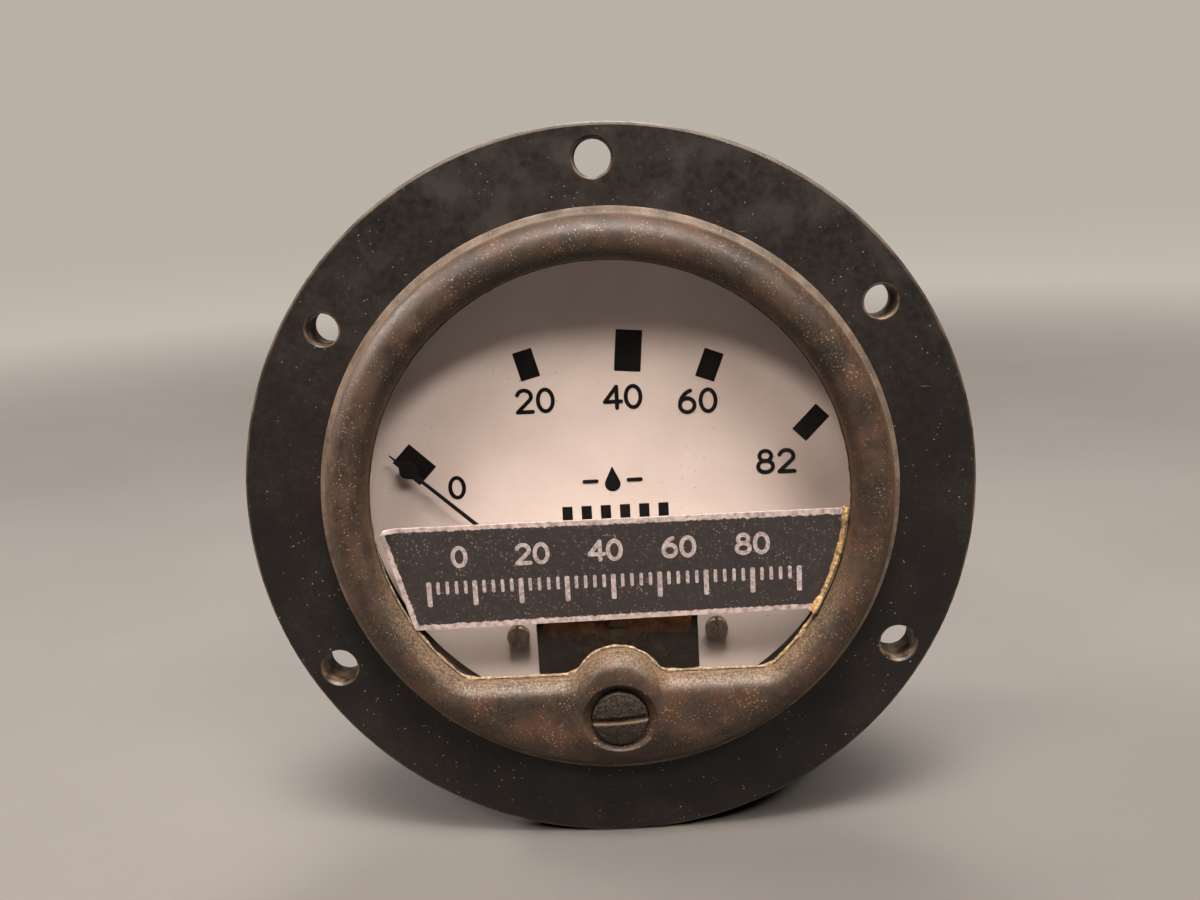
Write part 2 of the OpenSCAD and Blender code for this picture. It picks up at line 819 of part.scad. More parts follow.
// Two sleeved wire posts on the dial that stop the needle past each end of its scale
module needle_stops() {
    color([0.3, 0.1, 0.08]) stand() at_pivot()
        ring_of(stop_radius, [90 + low_stop, 90 - high_stop])
            drum(stop_r, dial_z, needle_z + stop_over);
}

// Front bridge over the coil, bent from strip: a waisted top, a leg at each end and a foot on each
// pole piece, held down by the pillars. Its rear boss carries the zero regulator
module front_bridge() {
    half = [[bridge_disc_r, bridge_waist / 2], [bridge_reach - bridge_end_r, bridge_end_w / 2],
            [bridge_reach, bridge_end_w / 2 - bridge_end_r]];
    n = len(half);
    back = [for (i = [1 : n]) half[n - i]];
    leg_x = bridge_reach - bridge_leg_t;
    leg_w = bridge_end_w - 2 * bridge_end_r;
    color([0.62, 0.42, 0.25]) stand() at_pivot() difference() {
        union() {
            translate([0, 0, bridge_back]) linear_extrude(bridge_t) polygon(concat(
                half, [for (p = back) [p.x, -p.y]], [for (p = half) [-p.x, -p.y]],
                [for (p = back) [-p.x, p.y]]));
            drum(bridge_disc_r, bridge_back, bridge_top);
            drum(boss_r, bridge_back - boss_h, bridge_back + eps);
            for (a = [0, 180]) rotate([0, 0, a]) {
                translate([leg_x, -leg_w / 2, core_top])
                    cube([bridge_leg_t, leg_w, bridge_back + eps - core_top]);
                translate([leg_x, -bridge_end_w / 2, core_top])
                    cube([dial_screw_x - leg_x, bridge_end_w, bridge_leg_t]);
                translate([dial_screw_x, 0, 0]) drum(bridge_w / 2, core_top, core_top + bridge_leg_t);
            }
        }
        drum(jewel_r, bridge_back - boss_h - 1, bridge_top + 1);
        pair(dial_screw_x) drum(m2, core_top - 1, core_top + bridge_leg_t + 1);
    }
}

// Pillars that clamp the bridge's feet to the pole pieces and carry the dial
module bridge_pillars() {
    foot = core_top + bridge_leg_t;
    color([0.7, 0.55, 0.28]) stand() at_pivot() pair(dial_screw_x) difference() {
        union() {
            drum(bridge_w / 2, foot, bridge_top);
            drum(m2, core_top - screw_grip, foot + eps);
        }
        drum(m2, bridge_top - screw_grip - 0.5, bridge_top + 1);
    }
}

// Jewel screw drawn from its cup, at height 0, up to its slotted end
module jewel_screw() {
    difference() {
        drum(jewel_r, 0, jewel_l);
        bar(4 * jewel_r, jewel_slot, jewel_l - jewel_slot_depth, jewel_l + 1);
        drum(cup_r, -1, cup_depth);
    }
}

module front_jewel_screw() {
    color([0.75, 0.6, 0.35]) stand() at_pivot() translate([0, 0, front_cup]) jewel_screw();
}

// Lock nut of the front jewel screw
module front_lock_nut() {
    color([0.62, 0.42, 0.25]) stand() at_pivot()
        pipe(lock_r, jewel_r, bridge_top, bridge_top + lock_t);
}

// Zero regulator: a ring on the bridge's boss, a fork for the crank pin and a spring stud
module zero_regulator() {
    slot = crank_pin_d / 2 + fork_gap;
    fork_end = -crank_l - fork_over;
    low = ring_z - ring_t;
    color([0.66, 0.45, 0.26]) stand() at_pivot() difference() {
        union() {
            drum(boss_r + ring_w, low, ring_z);
            translate([-slot - fork_wall, fork_end, low])
                cube([2 * (slot + fork_wall), -boss_r - fork_end, ring_t]);
            translate([0, -fork_wall, low]) cube([stud_post_x, 2 * fork_wall, ring_t]);
            translate([stud_post_x, 0, 0]) {
                drum(fork_wall, low, ring_z);
                drum(stud_post_r, front_spring_z - stud_post_over, ring_z);
            }
        }
        drum(boss_r + running_gap, low - 1, ring_z + 1);
        translate([-slot, fork_end - 1, low - 1])
            cube([2 * slot, 1 + fork_over + fork_depth, ring_t + 2]);
    }
}

// Point on the hairspring's middle line after u turns
function spring_point(u) =
    let (r = spring_r0 + spring_pitch * u) [r * cos(360 * u), r * sin(360 * u)];

spring_steps = 24;
spring_count = round(spring_turns * spring_steps);
spring_line = [for (i = [0 : spring_count]) spring_point(i / spring_steps)];
spring_gap = min([for (i = [0 : spring_count - spring_steps])
    norm(spring_line[i + spring_steps] - spring_line[i])]) - spring_t;
echo(hairspring_gap = spring_gap);

// Flat strip wound in a spiral, from the collet out to the stud
module hairspring(z) {
    points = [for (i = [0 : spring_count])
        let (p = spring_line[i], n = p / norm(p) * spring_t / 2)
        each [[p.x - n.x, p.y - n.y, z], [p.x + n.x, p.y + n.y, z],
              [p.x + n.x, p.y + n.y, z + spring_h], [p.x - n.x, p.y - n.y, z + spring_h]]];
    last = 4 * spring_count;
    faces = concat(
        [[0, 1, 2], [0, 2, 3], [last, last + 2, last + 1], [last, last + 3, last + 2]],
        [for (i = [0 : spring_count - 1]) for (k = [0 : 3])
            let (a = 4 * i + k, b = 4 * i + (k + 1) % 4) each [[a, a + 4, b + 4], [a, b + 4, b]]]
    );
    polyhedron(points = points, faces = faces, convexity = 8);
}

module front_hairspring() {
    color([0.72, 0.5, 0.3]) stand() at_pivot() hairspring(front_spring_z);
}

module rear_hairspring() {
    color([0.72, 0.5, 0.3]) stand() at_pivot() hairspring(rear_spring_z);
}

// Turns a piece of the moving element from straight up to where the needle rests
module at_rest() {
    at_pivot() rotate([0, 0, rest_angle]) children();
}

// Outline of the needle seen from the front: stem, spade and fine tip
module needle_outline() {
    spade = needle_l - spade_back;
    half = [[arm_w / 2, rise_out - needle_t], [stem_w / 2, rise_out + stem_l],
            [neck_w / 2, spade - spade_in], [spade_w / 2, spade],
            [neck_w / 2, spade + spade_out], [tip_w / 2, needle_l]];
    n = len(half);
    polygon(concat(half, [for (i = [1 : n]) [-half[n - i].x, half[n - i].y]]));
}

// Needle: hub, arm that rises through the dial's opening, stem with its spade, tail and arms
module pointer() {
    color([0.05, 0.05, 0.05]) stand() at_rest() {
        pipe(hub_r, staff_r, hub_z - hub_h, hub_z);
        translate([-arm_w / 2, hub_r - arm_sink, arm_z])
            cube([arm_w, rise_in - hub_r + arm_sink, needle_t]);
        translate([-arm_w / 2, 0, 0]) rotate([90, 0, 90]) linear_extrude(arm_w) polygon([
            [rise_in - eps, arm_z], [rise_out, needle_z],
            [rise_out + needle_t, needle_z + needle_t],
            [rise_out - needle_t, needle_z + needle_t], [rise_in - eps, arm_z + needle_t]]);
        translate([0, 0, needle_z]) linear_extrude(needle_t) needle_outline();
        for (a = [90, 180, 270]) rotate([0, 0, a])
            translate([-cross_w / 2, hub_r - arm_sink, arm_z])
                cube([cross_w, (a == 180 ? tail_l : cross_l) - hub_r + arm_sink, needle_t]);
    }
}

// Copper wire weight of radius r on the end of an arm of length arm_l
module wire_weight(arm_l, l, r) {
    play = 0.01;
    translate([0, arm_l - l - weight_gap, arm_z + needle_t / 2]) rotate([-90, 0, 0])
        difference() {
            cylinder(r = r, h = l, $fn = 32);
            translate([-cross_w / 2 - play, -needle_t / 2 - play, -1])
                cube([cross_w + 2 * play, needle_t + 2 * play, l + 2]);
        }
}

// Copper wire weights wound on the tail and the cross arms
module balance_weights() {
    color([0.6, 0.33, 0.18]) stand() at_rest() {
        rotate([0, 0, 180]) wire_weight(tail_l, tail_weight_l, tail_weight_r);
        for (a = [90, 270]) rotate([0, 0, a])
            wire_weight(cross_l, cross_weight_l, cross_weight_r);
    }
}

// Two half staffs cemented to the coil former, each ending in a fine pivot
module pivot_staffs() {
    front = front_cup - cup_gap;
    rear = rear_cup + cup_gap;
    color([0.6, 0.6, 0.62]) stand() at_pivot() {
        drum(staff_r, coil_front, front);
        drum(tip_r, front - eps, front + tip_l);
        drum(staff_r, rear, coil_back);
        drum(tip_r, rear - tip_l, rear + eps);
    }
}

// Collets that hold the inner ends of the two hairsprings
module spring_collets() {
    color([0.7, 0.55, 0.28]) stand() at_pivot() for (z = [front_spring_z, rear_spring_z])
        pipe(collet_r, staff_r, z - collet_lap, z + spring_h + collet_lap);
}

// Rectangular frame round the core, in the plane through the staff
module coil_frame(inner, outer, front, back, t, w) {
    rotate([90, 0, 0]) translate([0, 0, -w / 2]) linear_extrude(w) difference() {
        translate([-outer, back]) square([2 * outer, front - back]);
        translate([-inner, back + t]) square([2 * inner, front - back - 2 * t]);
    }
}

// Aluminium former, which also damps the needle, with a pad under each staff
module coil_former() {
    color([0.75, 0.75, 0.76]) stand() at_rest() {
        coil_frame(former_in, former_out, coil_front - winding_t, coil_back + winding_t,
            former_t, coil_w);
        for (z = [[coil_front - winding_t - eps, coil_front], [coil_back, coil_back + winding_t + eps]])
            difference() {
                bar(former_pad, coil_w, z[0], z[1]);
                drum(staff_r - eps, z[0] - 1, z[1] + 1);
            }
    }
}

// Enamelled copper winding on the former, parted where the staffs are cemented
module coil_winding() {
    gap = former_pad + 0.02;
    color([0.65, 0.3, 0.15]) stand() at_rest() difference() {
        coil_frame(former_out, coil_out, coil_front, coil_back, winding_t, coil_w - 2 * winding_inset);
        bar(gap, coil_w + 1, coil_back - 1, coil_back + winding_t + 0.02);
        bar(gap, coil_w + 1, coil_front - winding_t - 0.02, coil_front + 1);
    }
}

// Soft-iron core inside the coil, notched for its support
module iron_core() {
    color([0.4, 0.4, 0.41]) stand() at_pivot() difference() {
        drum(core_r, core_bottom, core_top);
        translate([-support_w / 2, core_r - support_sink, support_z - 1])
            cube([support_w, core_r, support_t + 2]);
    }
}

// Brass support that hangs the core between the pole pieces, clear of the coil
module core_support() {
    w = support_w - 2 * support_play;
    color([0.7, 0.55, 0.28]) stand() at_pivot() difference() {
        union() {
            translate([-w / 2, core_r - support_sink, support_z])
                cube([w, pole_top + eps - core_r + support_sink, support_t]);
            translate([-support_span / 2, pole_top, support_z])
                cube([support_span, support_bar, support_t]);
        }
        support_screw_places() drum(m2, 0, pole_top + 2 * support_bar);
    }
}

// The two places of the core support's screws, which point down the dial
module support_screw_places() {
    pair(support_screw_x) translate([0, 0, support_z + support_t / 2]) rotate([-90, 0, 0]) children();
}

// Screws that fasten the core support to the pole pieces
module core_screws() {
    color([0.5, 0.5, 0.5]) stand() at_pivot() support_screw_places()
        slotted_screw(m2, support_grip, pole_top + support_bar, 0, support_head_r);
}

// The four places of the screws between the movement plate and the pole pieces
module pole_screw_places() {
    at_pivot() pair(pole_screw_x) for (y = [-1, 1]) translate([0, y * pole_screw_y, 0]) children();
}

// Soft-iron pole pieces with the bore that the coil turns in
module pole_pieces() {
    color([0.36, 0.36, 0.38]) stand() difference() {
        intersection() {
            translate([-magnet_r, pivot_y + pole_low, core_bottom])
                cube([2 * magnet_r, pole_top - pole_low, core_l]);
            drum(magnet_r - pole_gap, core_bottom - 1, core_top + 1);
        }
        at_pivot() {
            drum(pole_bore_r, core_bottom - 1, core_top + 1);
            bar(2 * pole_inner_x, 4 * pole_bore_r, core_bottom - 1, core_top + 1);
            pair(dial_screw_x) drum(m2, core_top - screw_grip - 0.5, core_top + 1);
            support_screw_places() drum(m2, pole_top - screw_grip - 0.5, pole_top + 1);
        }
        pole_screw_places() drum(m2, core_bottom - 1, core_bottom + support_grip + 0.5);
    }
}

// Horseshoe magnet standing on the pole pieces and arching over the movement
module horseshoe_magnet() {
    color([0.3, 0.3, 0.33]) stand() difference() {
        intersection() {
            pipe(magnet_r, magnet_r - magnet_w, core_bottom, core_top);
            above(pivot_y + pole_top, core_bottom - 1, core_top + 1);
        }
        ring_of(magnet_mid, magnet_angles) drum(m3 + thread_play, core_bottom - 1, core_top + 1);
    }
}

// Screws through the magnet into the movement plate
module magnet_screws() {
    color([0.45, 0.42, 0.36]) stand() ring_of(magnet_mid, magnet_angles)
        slotted_screw(m3, core_l + plate_t, core_top, 40);
}

// Screws from the movement plate into the pole pieces
module pole_screws() {
    color([0.5, 0.5, 0.5]) stand() pole_screw_places() mirror([0, 0, 1])
        slotted_screw(m2, support_grip + plate_t, -plate_back);
}

// Brass plate that carries the whole movement, screwed to the case's three posts
module movement_plate() {
    low = plate_back - 1;
    high = plate_top + 1;
    color([0.66, 0.53, 0.3]) stand() difference() {
        drum(magnet_r + plate_lap, plate_back, plate_top);
        at_pivot() {
            drum(pole_bore_r + plate_play, low, high);
            pair(dial_screw_x) drum(m2, low, high);
        }
        pole_screw_places() drum(m2 + thread_play, low, high);
        ring_of(magnet_mid, magnet_angles) drum(m3, low, high);
        ring_of(post_radius, post_angles) drum(m3, low, high);
        translate([0, resistor_y, 0]) drum(m2, low, high);
        translate([-lead_slot_w / 2, 0, low]) cube([lead_slot_w, lead_slot_h, high - low]);
    }
}

// Three long screws from the back of the case into the movement plate
module movement_screws() {
    seat_h = back_z + screw_recess;
    color([0.55, 0.5, 0.4]) stand() ring_of(post_radius, post_angles) mirror([0, 0, 1])
        slotted_screw(m3, plate_top - seat_h, -seat_h, 25);
}

// Rear bridge with the rear jewel screw and the fixed stud of the rear hairspring
module rear_bridge() {
    color([0.66, 0.53, 0.3]) stand() at_pivot() difference() {
        union() {
            bar(dial_screw_spacing, bridge_w, rear_back, rear_top);
            pair(dial_screw_x) drum(bridge_w / 2, rear_back, rear_top);
            drum(bridge_disc_r, rear_back, rear_top);
            translate([stud_post_x, 0, 0])
                drum(stud_post_r, rear_top - eps, rear_spring_z + spring_h + stud_post_over);
        }
        drum(jewel_r, rear_back - 1, rear_top + 1);
        pair(dial_screw_x) drum(m2 + thread_play, rear_back - 1, rear_top + 1);
    }
}

// Pillars between the movement plate and the rear bridge
module rear_pillars() {
    color([0.7, 0.55, 0.28]) stand() at_pivot() pair(dial_screw_x)
        pipe(bridge_w / 2, m2 + thread_play, rear_top, plate_back);
}

// Screws through the rear bridge and its pillars into the plate
module rear_bridge_screws() {
    color([0.5, 0.5, 0.5]) stand() at_pivot() pair(dial_screw_x) mirror([0, 0, 1])
        slotted_screw(m2, plate_top - rear_back, -rear_back);
}

module rear_jewel_screw() {
    color([0.75, 0.6, 0.35]) stand() at_pivot() translate([0, 0, rear_cup]) mirror([0, 0, 1])
        jewel_screw();
}

// Lock nut of the rear jewel screw
module rear_lock_nut() {
    color([0.62, 0.42, 0.25]) stand() at_pivot()
        pipe(lock_r, jewel_r, rear_back - lock_t, rear_back);
}

// Bobbin of the series resistor, on the back of the movement plate
module resistor_bobbin() {
    color([0.35, 0.2, 0.1]) stand() translate([0, resistor_y, 0]) difference() {
        union() {
            drum(bobbin_core_r, bobbin_low, plate_back);
            drum(bobbin_r, plate_back - bobbin_cheek, plate_back);
            drum(bobbin_r, bobbin_low, bobbin_low + bobbin_cheek);
        }
        drum(m2 + thread_play, bobbin_low - 1, plate_back + 1);
    }
}

module resistor_winding() {
    color([0.5, 0.22, 0.12]) stand() translate([0, resistor_y, 0])
        pipe(resistor_r, bobbin_core_r, bobbin_low + bobbin_cheek, plate_back - bobbin_cheek);
}

module resistor_screw() {
    color([0.5, 0.5, 0.5]) stand() translate([0, resistor_y, 0]) mirror([0, 0, 1])
        slotted_screw(m2, plate_top - bobbin_low, -bobbin_low);
}

// Brass terminal studs, headed inside the back wall. Inside the nuts the thread is drawn on its
// pitch line, and on the free end on its outside, where a wire's ring goes on
module terminal_studs() {
    end = back_z - stud_l;
    color([0.7, 0.56, 0.3]) stand() pair(stud_x) {
        drum(stud_pitch_r, free_end_z - eps, wall_z + lug_t + eps);
        drum(stud_r, end + stud_chamfer, free_end_z);
        translate([0, 0, end]) cylinder(r1 = stud_r - stud_chamfer, r2 = stud_r, h = stud_chamfer);
        translate([0, 0, wall_z + lug_t]) cylinder(d = nut_af / cos(30), h = stud_head, $fn = 6);
    }
}

// Solder lugs clamped under the stud heads
module terminal_lugs() {
    top = wall_z + lug_t;
    color([0.72, 0.7, 0.62]) stand() pair(stud_x) difference() {
        union() {
            drum(lug_r, wall_z, top);
            translate([-lug_w / 2, 0, wall_z]) cube([lug_w, lug_l, lug_t]);
        }
        drum(stud_r, wall_z - 1, top + 1);
        translate([0, lug_eye_y, 0]) drum(lug_eye_r, wall_z - 1, top + 1);
    }
}

// Pair of washers or nuts on the studs, below height top
module stud_washers(top, r) {
    pair(stud_x) pipe(r, stud_r + washer_play, top - washer_t, top);
}

module stud_nuts(top) {
    pair(stud_x) rotate([0, 0, 12]) hex_nut(nut_af, stud_pitch_r, top - nut_t, top);
}

// Washers and nuts that clamp the studs to the case
module clamp_washers() {
    color([0.72, 0.6, 0.34]) stand() stud_washers(pad_z, clamp_washer_r);
}

module clamp_nuts() {
    color([0.7, 0.56, 0.3]) stand() stud_nuts(pad_z - washer_t);
}

// Washers and nuts that clamp the aircraft's wires
module wire_washers() {
    color([0.72, 0.6, 0.34]) stand() stud_washers(wire_z, wire_washer_r);
}

module wire_nuts() {
    color([0.7, 0.56, 0.3]) stand() stud_nuts(wire_z - washer_t);
}

// Insulated wire along a route of points, six-sided
function unit(v) = v / norm(v);
function wire_dir(path, i) =
    unit(path[min(i + 1, len(path) - 1)] - path[max(i - 1, 0)]);
module wire(path) {
    n = len(path);
    up = [0.31, 0.23, 0.92];
    points = [for (i = [0 : n - 1])
        let (t = wire_dir(path, i), a = unit(cross(t, up)), b = cross(t, a))
        for (k = [0 : 5]) path[i] + lead_r * (a * cos(60 * k) + b * sin(60 * k))];
    e = 6 * (n - 1);
    faces = concat(
        [for (k = [1 : 4]) [0, k, k + 1]], [for (k = [1 : 4]) [e, e + k + 1, e + k]],
        [for (i = [0 : n - 2]) for (k = [0 : 5])
            let (a = 6 * i + k, b = 6 * i + (k + 1) % 6) each [[a, a + 6, b + 6], [a, b + 6, b]]]
    );
    polyhedron(points = points, faces = faces, convexity = 6);
}

// Bends of the leads, as shares of the way from start to end in x, y and z
right_bends = [[0, 0, 0], [0.05, 0.34, 0.1], [0.24, 0.6, 0.5], [0.56, 0.74, 0.83], [1, 1, 1]];
left_bends = [[0, 0, 0], [-0.12, 0.02, 0.25], [-0.29, 0.15, 0.5], [0, 0.48, 0.62],
              [0.26, 0.73, 0.75], [1, 1, 1]];
function way(p, q, t) = [for (i = [0 : 2]) p[i] + (q[i] - p[i]) * t[i]];

// Two leads from the lugs: one to the resistor, one past a case post to the rear bridge
module lead_wires() {
    z = wall_z + lug_t + lead_r + 0.1;
    y = lug_l - 0.8;
    beside = case_post_d / 2 + lead_r + 1 - post_radius * cos(30);
    right = [[stud_x, y, z], [resistor_r + lead_r + 0.75, resistor_y, bobbin_low + 0.7]];
    left = [[-stud_x, y, z],
            [-dial_screw_x - bridge_w / 2 - lead_r - 0.15, pivot_y, rear_back - lead_r - 0.7]];
    color([0.5, 0.1, 0.08]) stand() {
        wire([for (t = right_bends) way(right[0], right[1], t)]);
        wire([for (t = left_bends) let (p = way(left[0], left[1], t))
            [t[1] > 0.4 && t[1] < 1 ? beside + (t[1] < 0.5 ? -0.6 : 0.6) : p.x, p.y, p.z]]);
    }
}

case_moulding();
bezel_cover();
window_gasket();
window_glass();
glass_snap_ring();
placard_plate();
zero_bush();
zero_adjust_screw();
zero_screw_clip();
dial_plate();
dial_screws();
dial_spacers();
needle_stops();
front_bridge();
bridge_pillars();
front_jewel_screw();
front_lock_nut();
zero_regulator();
front_hairspring();
rear_hairspring();
pointer();
balance_weights();
pivot_staffs();
spring_collets();
coil_former();
coil_winding();
iron_core();
core_support();
core_screws();
pole_pieces();
horseshoe_magnet();
magnet_screws();
pole_screws();
movement_plate();
movement_screws();
rear_bridge();
rear_pillars();
rear_bridge_screws();
rear_jewel_screw();
rear_lock_nut();
resistor_bobbin();
resistor_winding();
resistor_screw();
terminal_studs();
terminal_lugs();
clamp_washers();
clamp_nuts();
wire_washers();
wire_nuts();
lead_wires();
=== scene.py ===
import bpy, bmesh, math
from mathutils import Matrix, Vector, kdtree, noise


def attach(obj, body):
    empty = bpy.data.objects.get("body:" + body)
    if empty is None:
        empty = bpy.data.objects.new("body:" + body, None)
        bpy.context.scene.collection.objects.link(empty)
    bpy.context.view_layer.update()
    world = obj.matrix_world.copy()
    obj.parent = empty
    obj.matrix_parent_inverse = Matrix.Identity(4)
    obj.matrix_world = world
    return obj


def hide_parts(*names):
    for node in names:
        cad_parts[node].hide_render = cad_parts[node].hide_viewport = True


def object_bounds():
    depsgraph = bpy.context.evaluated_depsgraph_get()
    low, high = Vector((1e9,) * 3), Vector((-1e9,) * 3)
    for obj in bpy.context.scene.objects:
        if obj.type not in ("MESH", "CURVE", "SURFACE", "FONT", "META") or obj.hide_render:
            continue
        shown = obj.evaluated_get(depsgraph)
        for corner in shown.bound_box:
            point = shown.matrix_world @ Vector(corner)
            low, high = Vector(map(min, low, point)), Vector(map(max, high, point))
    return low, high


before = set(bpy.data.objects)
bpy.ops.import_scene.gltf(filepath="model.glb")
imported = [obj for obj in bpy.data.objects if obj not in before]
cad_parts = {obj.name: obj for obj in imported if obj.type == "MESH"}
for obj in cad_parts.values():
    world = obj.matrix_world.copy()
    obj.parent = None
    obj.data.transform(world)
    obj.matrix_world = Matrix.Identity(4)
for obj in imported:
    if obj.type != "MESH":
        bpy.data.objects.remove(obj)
cad_low, cad_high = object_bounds()


# Camera. A 36 mm lens a hand's breadth and a half in front of the dial, a little above it and leaning
# slightly to the left, as the photograph was taken.
def turn(degrees, axis):
    """Rotation about an axis."""
    return Matrix.Rotation(math.radians(degrees), 3, axis)


pan, tilt, cant = -3.09, 12.55, 1.43
eye = (0.0027, -0.1465, 0.0376)
sight = turn(pan, "Z") @ turn(tilt, "X") @ turn(cant, "Y") @ Matrix(((1, 0, 0), (0, 0, -1), (0, 1, 0)))
lens = bpy.data.cameras.new("camera")
lens.lens, lens.sensor_width = 36, 36
lens.clip_start, lens.clip_end = 0.005, 20
camera = bpy.data.objects.new("camera", lens)
camera.matrix_world = (Matrix.Translation(eye)
                       @ Matrix((sight[0], -sight[1], -sight[2])).transposed().to_4x4())
bpy.context.scene.collection.objects.link(camera)
bpy.context.scene.camera = camera


# Floor and studio light. A level sheet of pale matt paper. Two narrow soft boxes in front, a wide one
# above and weaker ones behind and at the left light it round the gauge, and further out it is lit
# through from below. The far part of the paper and the pale room are seen, but light nothing.
def linear(code):
    """Linear RGBA of an sRGB hex colour."""
    parts = [int(code[i:i + 2], 16) / 255 for i in (1, 3, 5)]
    return [c / 12.92 if c <= 0.04045 else ((c + 0.055) / 1.055) ** 2.4 for c in parts] + [1.0]


def wire(node, wires):
    """Gives a node's inputs values or links."""
    for key, value in wires.items():
        if isinstance(value, bpy.types.NodeSocket):
            node.id_data.links.new(value, node.inputs[key])
        else:
            node.inputs[key].default_value = value


def put(tree, kind, wires=None, out=0, **settings):
    """Adds a wired node, a shader node unless its kind is in full, and returns one of its outputs."""
    node = tree.nodes.new(kind if "Node" in kind else "ShaderNode" + kind)
    for key, value in settings.items():
        setattr(node, key, value)
    wire(node, wires or {})
    return node.outputs[out] if node.outputs else node


def new_finish(name, **constants):
    """A material with its surface shader and place on the piece: (material, tree, shader, place)."""
    material = bpy.data.materials.new(name)
    material.use_nodes = True
    tree = material.node_tree
    tree.nodes.clear()
    constants = {key.replace("_", " "): value for key, value in constants.items()}
    shader = put(tree, "BsdfPrincipled", constants).node
    put(tree, "OutputMaterial", {"Surface": shader.outputs[0]})
    return material, tree, shader, put(tree, "TexCoord", out="Object")


def mottled(tree, place, patch_mm, *stops, detail=4, rough=0.55):
    """Colour that wanders through (position, hex) stops over soft patches patch_mm across."""
    field = put(tree, "TexNoise", {"Vector": place, "Scale": 1000 / patch_mm, "Detail": detail,
                                   "Roughness": rough})
    tones = put(tree, "ValToRGB", {0: field})
    row = tones.node.color_ramp.elements
    while len(row) < len(stops):
        row.new(0.5)
    for element, (position, code) in zip(row, stops):
        element.position, element.color = position, linear(code)
    return tones


def grained(tree, place, grain_mm, depth_mm, strength=1.0, detail=4, rough=0.55):
    """Normals of a surface raised in a random grain, grain_mm across and up to depth_mm high."""
    field = put(tree, "TexNoise", {"Vector": place, "Scale": 1000 / grain_mm, "Detail": detail,
                                   "Roughness": rough})
    return put(tree, "Bump", {"Height": field, "Distance": depth_mm / 1000, "Strength": strength})


def swung(x, y, degrees):
    """Point x, y turned anticlockwise about the origin."""
    s, c = math.sin(math.radians(degrees)), math.cos(math.radians(degrees))
    return x * c - y * s, x * s + y * c


# Matt translucent paper: even, dry and without gloss. Near the gauge the soft boxes light it, and
# further out a soft glow through the paper takes over.
pale = linear("#beb5ab")
paper, tree, shader, place = new_finish("matt_translucent_paper", Roughness=0.9, Emission_Color=pale)
glow_starts, glow_full, glow_strength = 0.22, 0.8, 0.95
from_gauge = put(tree, "VectorMath", {0: place}, operation="LENGTH", out="Value")
glow = put(tree, "MapRange", {0: from_gauge, 1: glow_starts, 2: glow_full, 3: 0.0, 4: glow_strength},
           interpolation_type="SMOOTHSTEP")
wire(shader, {"Base Color": mottled(tree, place, 60, (0.3, "#4c4a48"), (0.7, "#504e4c")),
              "Normal": grained(tree, place, 1.5, 0.05), "Emission Strength": glow})

floor_z, spokes = cad_low.z, 72
for name, radii in (("near_floor", (0.0005, 0.1, 0.3)), ("far_floor", (0.3, 1.0, 3.0, 12.0, 60.0))):
    spots = [(*swung(r, 0, 360 / spokes * i), floor_z) for r in radii for i in range(spokes)]
    sheets = []
    for start in range(0, spokes * (len(radii) - 1), spokes):
        for i in range(spokes):
            k = (i + 1) % spokes
            sheets.append((start + i, start + spokes + i, start + spokes + k, start + k))
    mesh = bpy.data.meshes.new(name)
    mesh.from_pydata(spots, [], sheets + ([tuple(range(spokes))] if name == "near_floor" else []))
    mesh.materials.append(paper)
    floor = bpy.data.objects.new(name, mesh)
    bpy.context.scene.collection.objects.link(floor)
    floor.visible_diffuse = floor.visible_glossy = name == "near_floor"

# Place, aim, width, depth, spread in degrees, watts and colour of each soft box.
for name, spot, aim, wide, deep, spread, power, colour in (
        ("left_box", (-0.66, -0.95, 1.08), (0, 0, 0), 1.05, 0.2, 40, 1.35, "#ffeee2"),
        ("right_box", (0.62, -0.95, 1.08), (0, 0, 0), 1.05, 0.2, 40, 1.65, "#fff2e8"),
        ("high_box", (0.03, -0.46, 1.34), (0, 0, 0), 0.9, 0.42, 40, 4.6, "#fff3ea"),
        ("back_box", (0.05, 0.75, 1.2), (0, 0, 0), 1.0, 0.4, 40, 2.0, "#fff8f0"),
        ("side_box", (-1.0, 0.30, 0.65), (0, 0, 0), 0.5, 0.3, 25, 0.8, "#fff4ec"),
        ("far_box", (0.0, 0.5, 1.3), (0, 0.6, 0), 1.2, 0.6, 100, 3.0, "#fff8f2")):
    lamp = bpy.data.lights.new(name, "AREA")
    lamp.shape, lamp.size, lamp.size_y, lamp.spread = "RECTANGLE", wide, deep, math.radians(spread)
    lamp.energy, lamp.color = power, linear(colour)[:3]
    box = bpy.data.objects.new(name, lamp)
    box.location = spot
    box.rotation_euler = (Vector(aim) - Vector(spot)).to_track_quat("-Z", "Y").to_euler()
    bpy.context.scene.collection.objects.link(box)
room = bpy.data.worlds.new("pale_room")
room.use_nodes = True
wire(room.node_tree.nodes["Background"], {"Color": pale, "Strength": glow_strength})
bpy.context.scene.world = room
room.cycles_visibility.diffuse = room.cycles_visibility.glossy = False
bpy.context.scene.view_settings.view_transform = "Standard"


# Case: flange, barrel and back. Black phenolic pressed in one piece, satin from the mould, with dust in
# its pores. Its rims and the mouths of its holes are rubbed back to the tan filler.
def dress(material, *nodes):
    """Gives CAD nodes their finish."""
    for node in nodes:
        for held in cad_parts[node].material_slots:
            held.material = material


def patchy(tree, place, patch_mm, low, high, least=0.0, most=1.0, detail=4, rough=0.55, warp=0.0):
    """Mask in soft patches, from least where the field is under low to most over high."""
    field = put(tree, "TexNoise", {"Vector": place, "Scale": 1000 / patch_mm, "Detail": detail,
                                   "Roughness": rough, "Distortion": warp})
    return put(tree, "MapRange", {0: field, 1: low, 2: high, 3: least, 4: most})


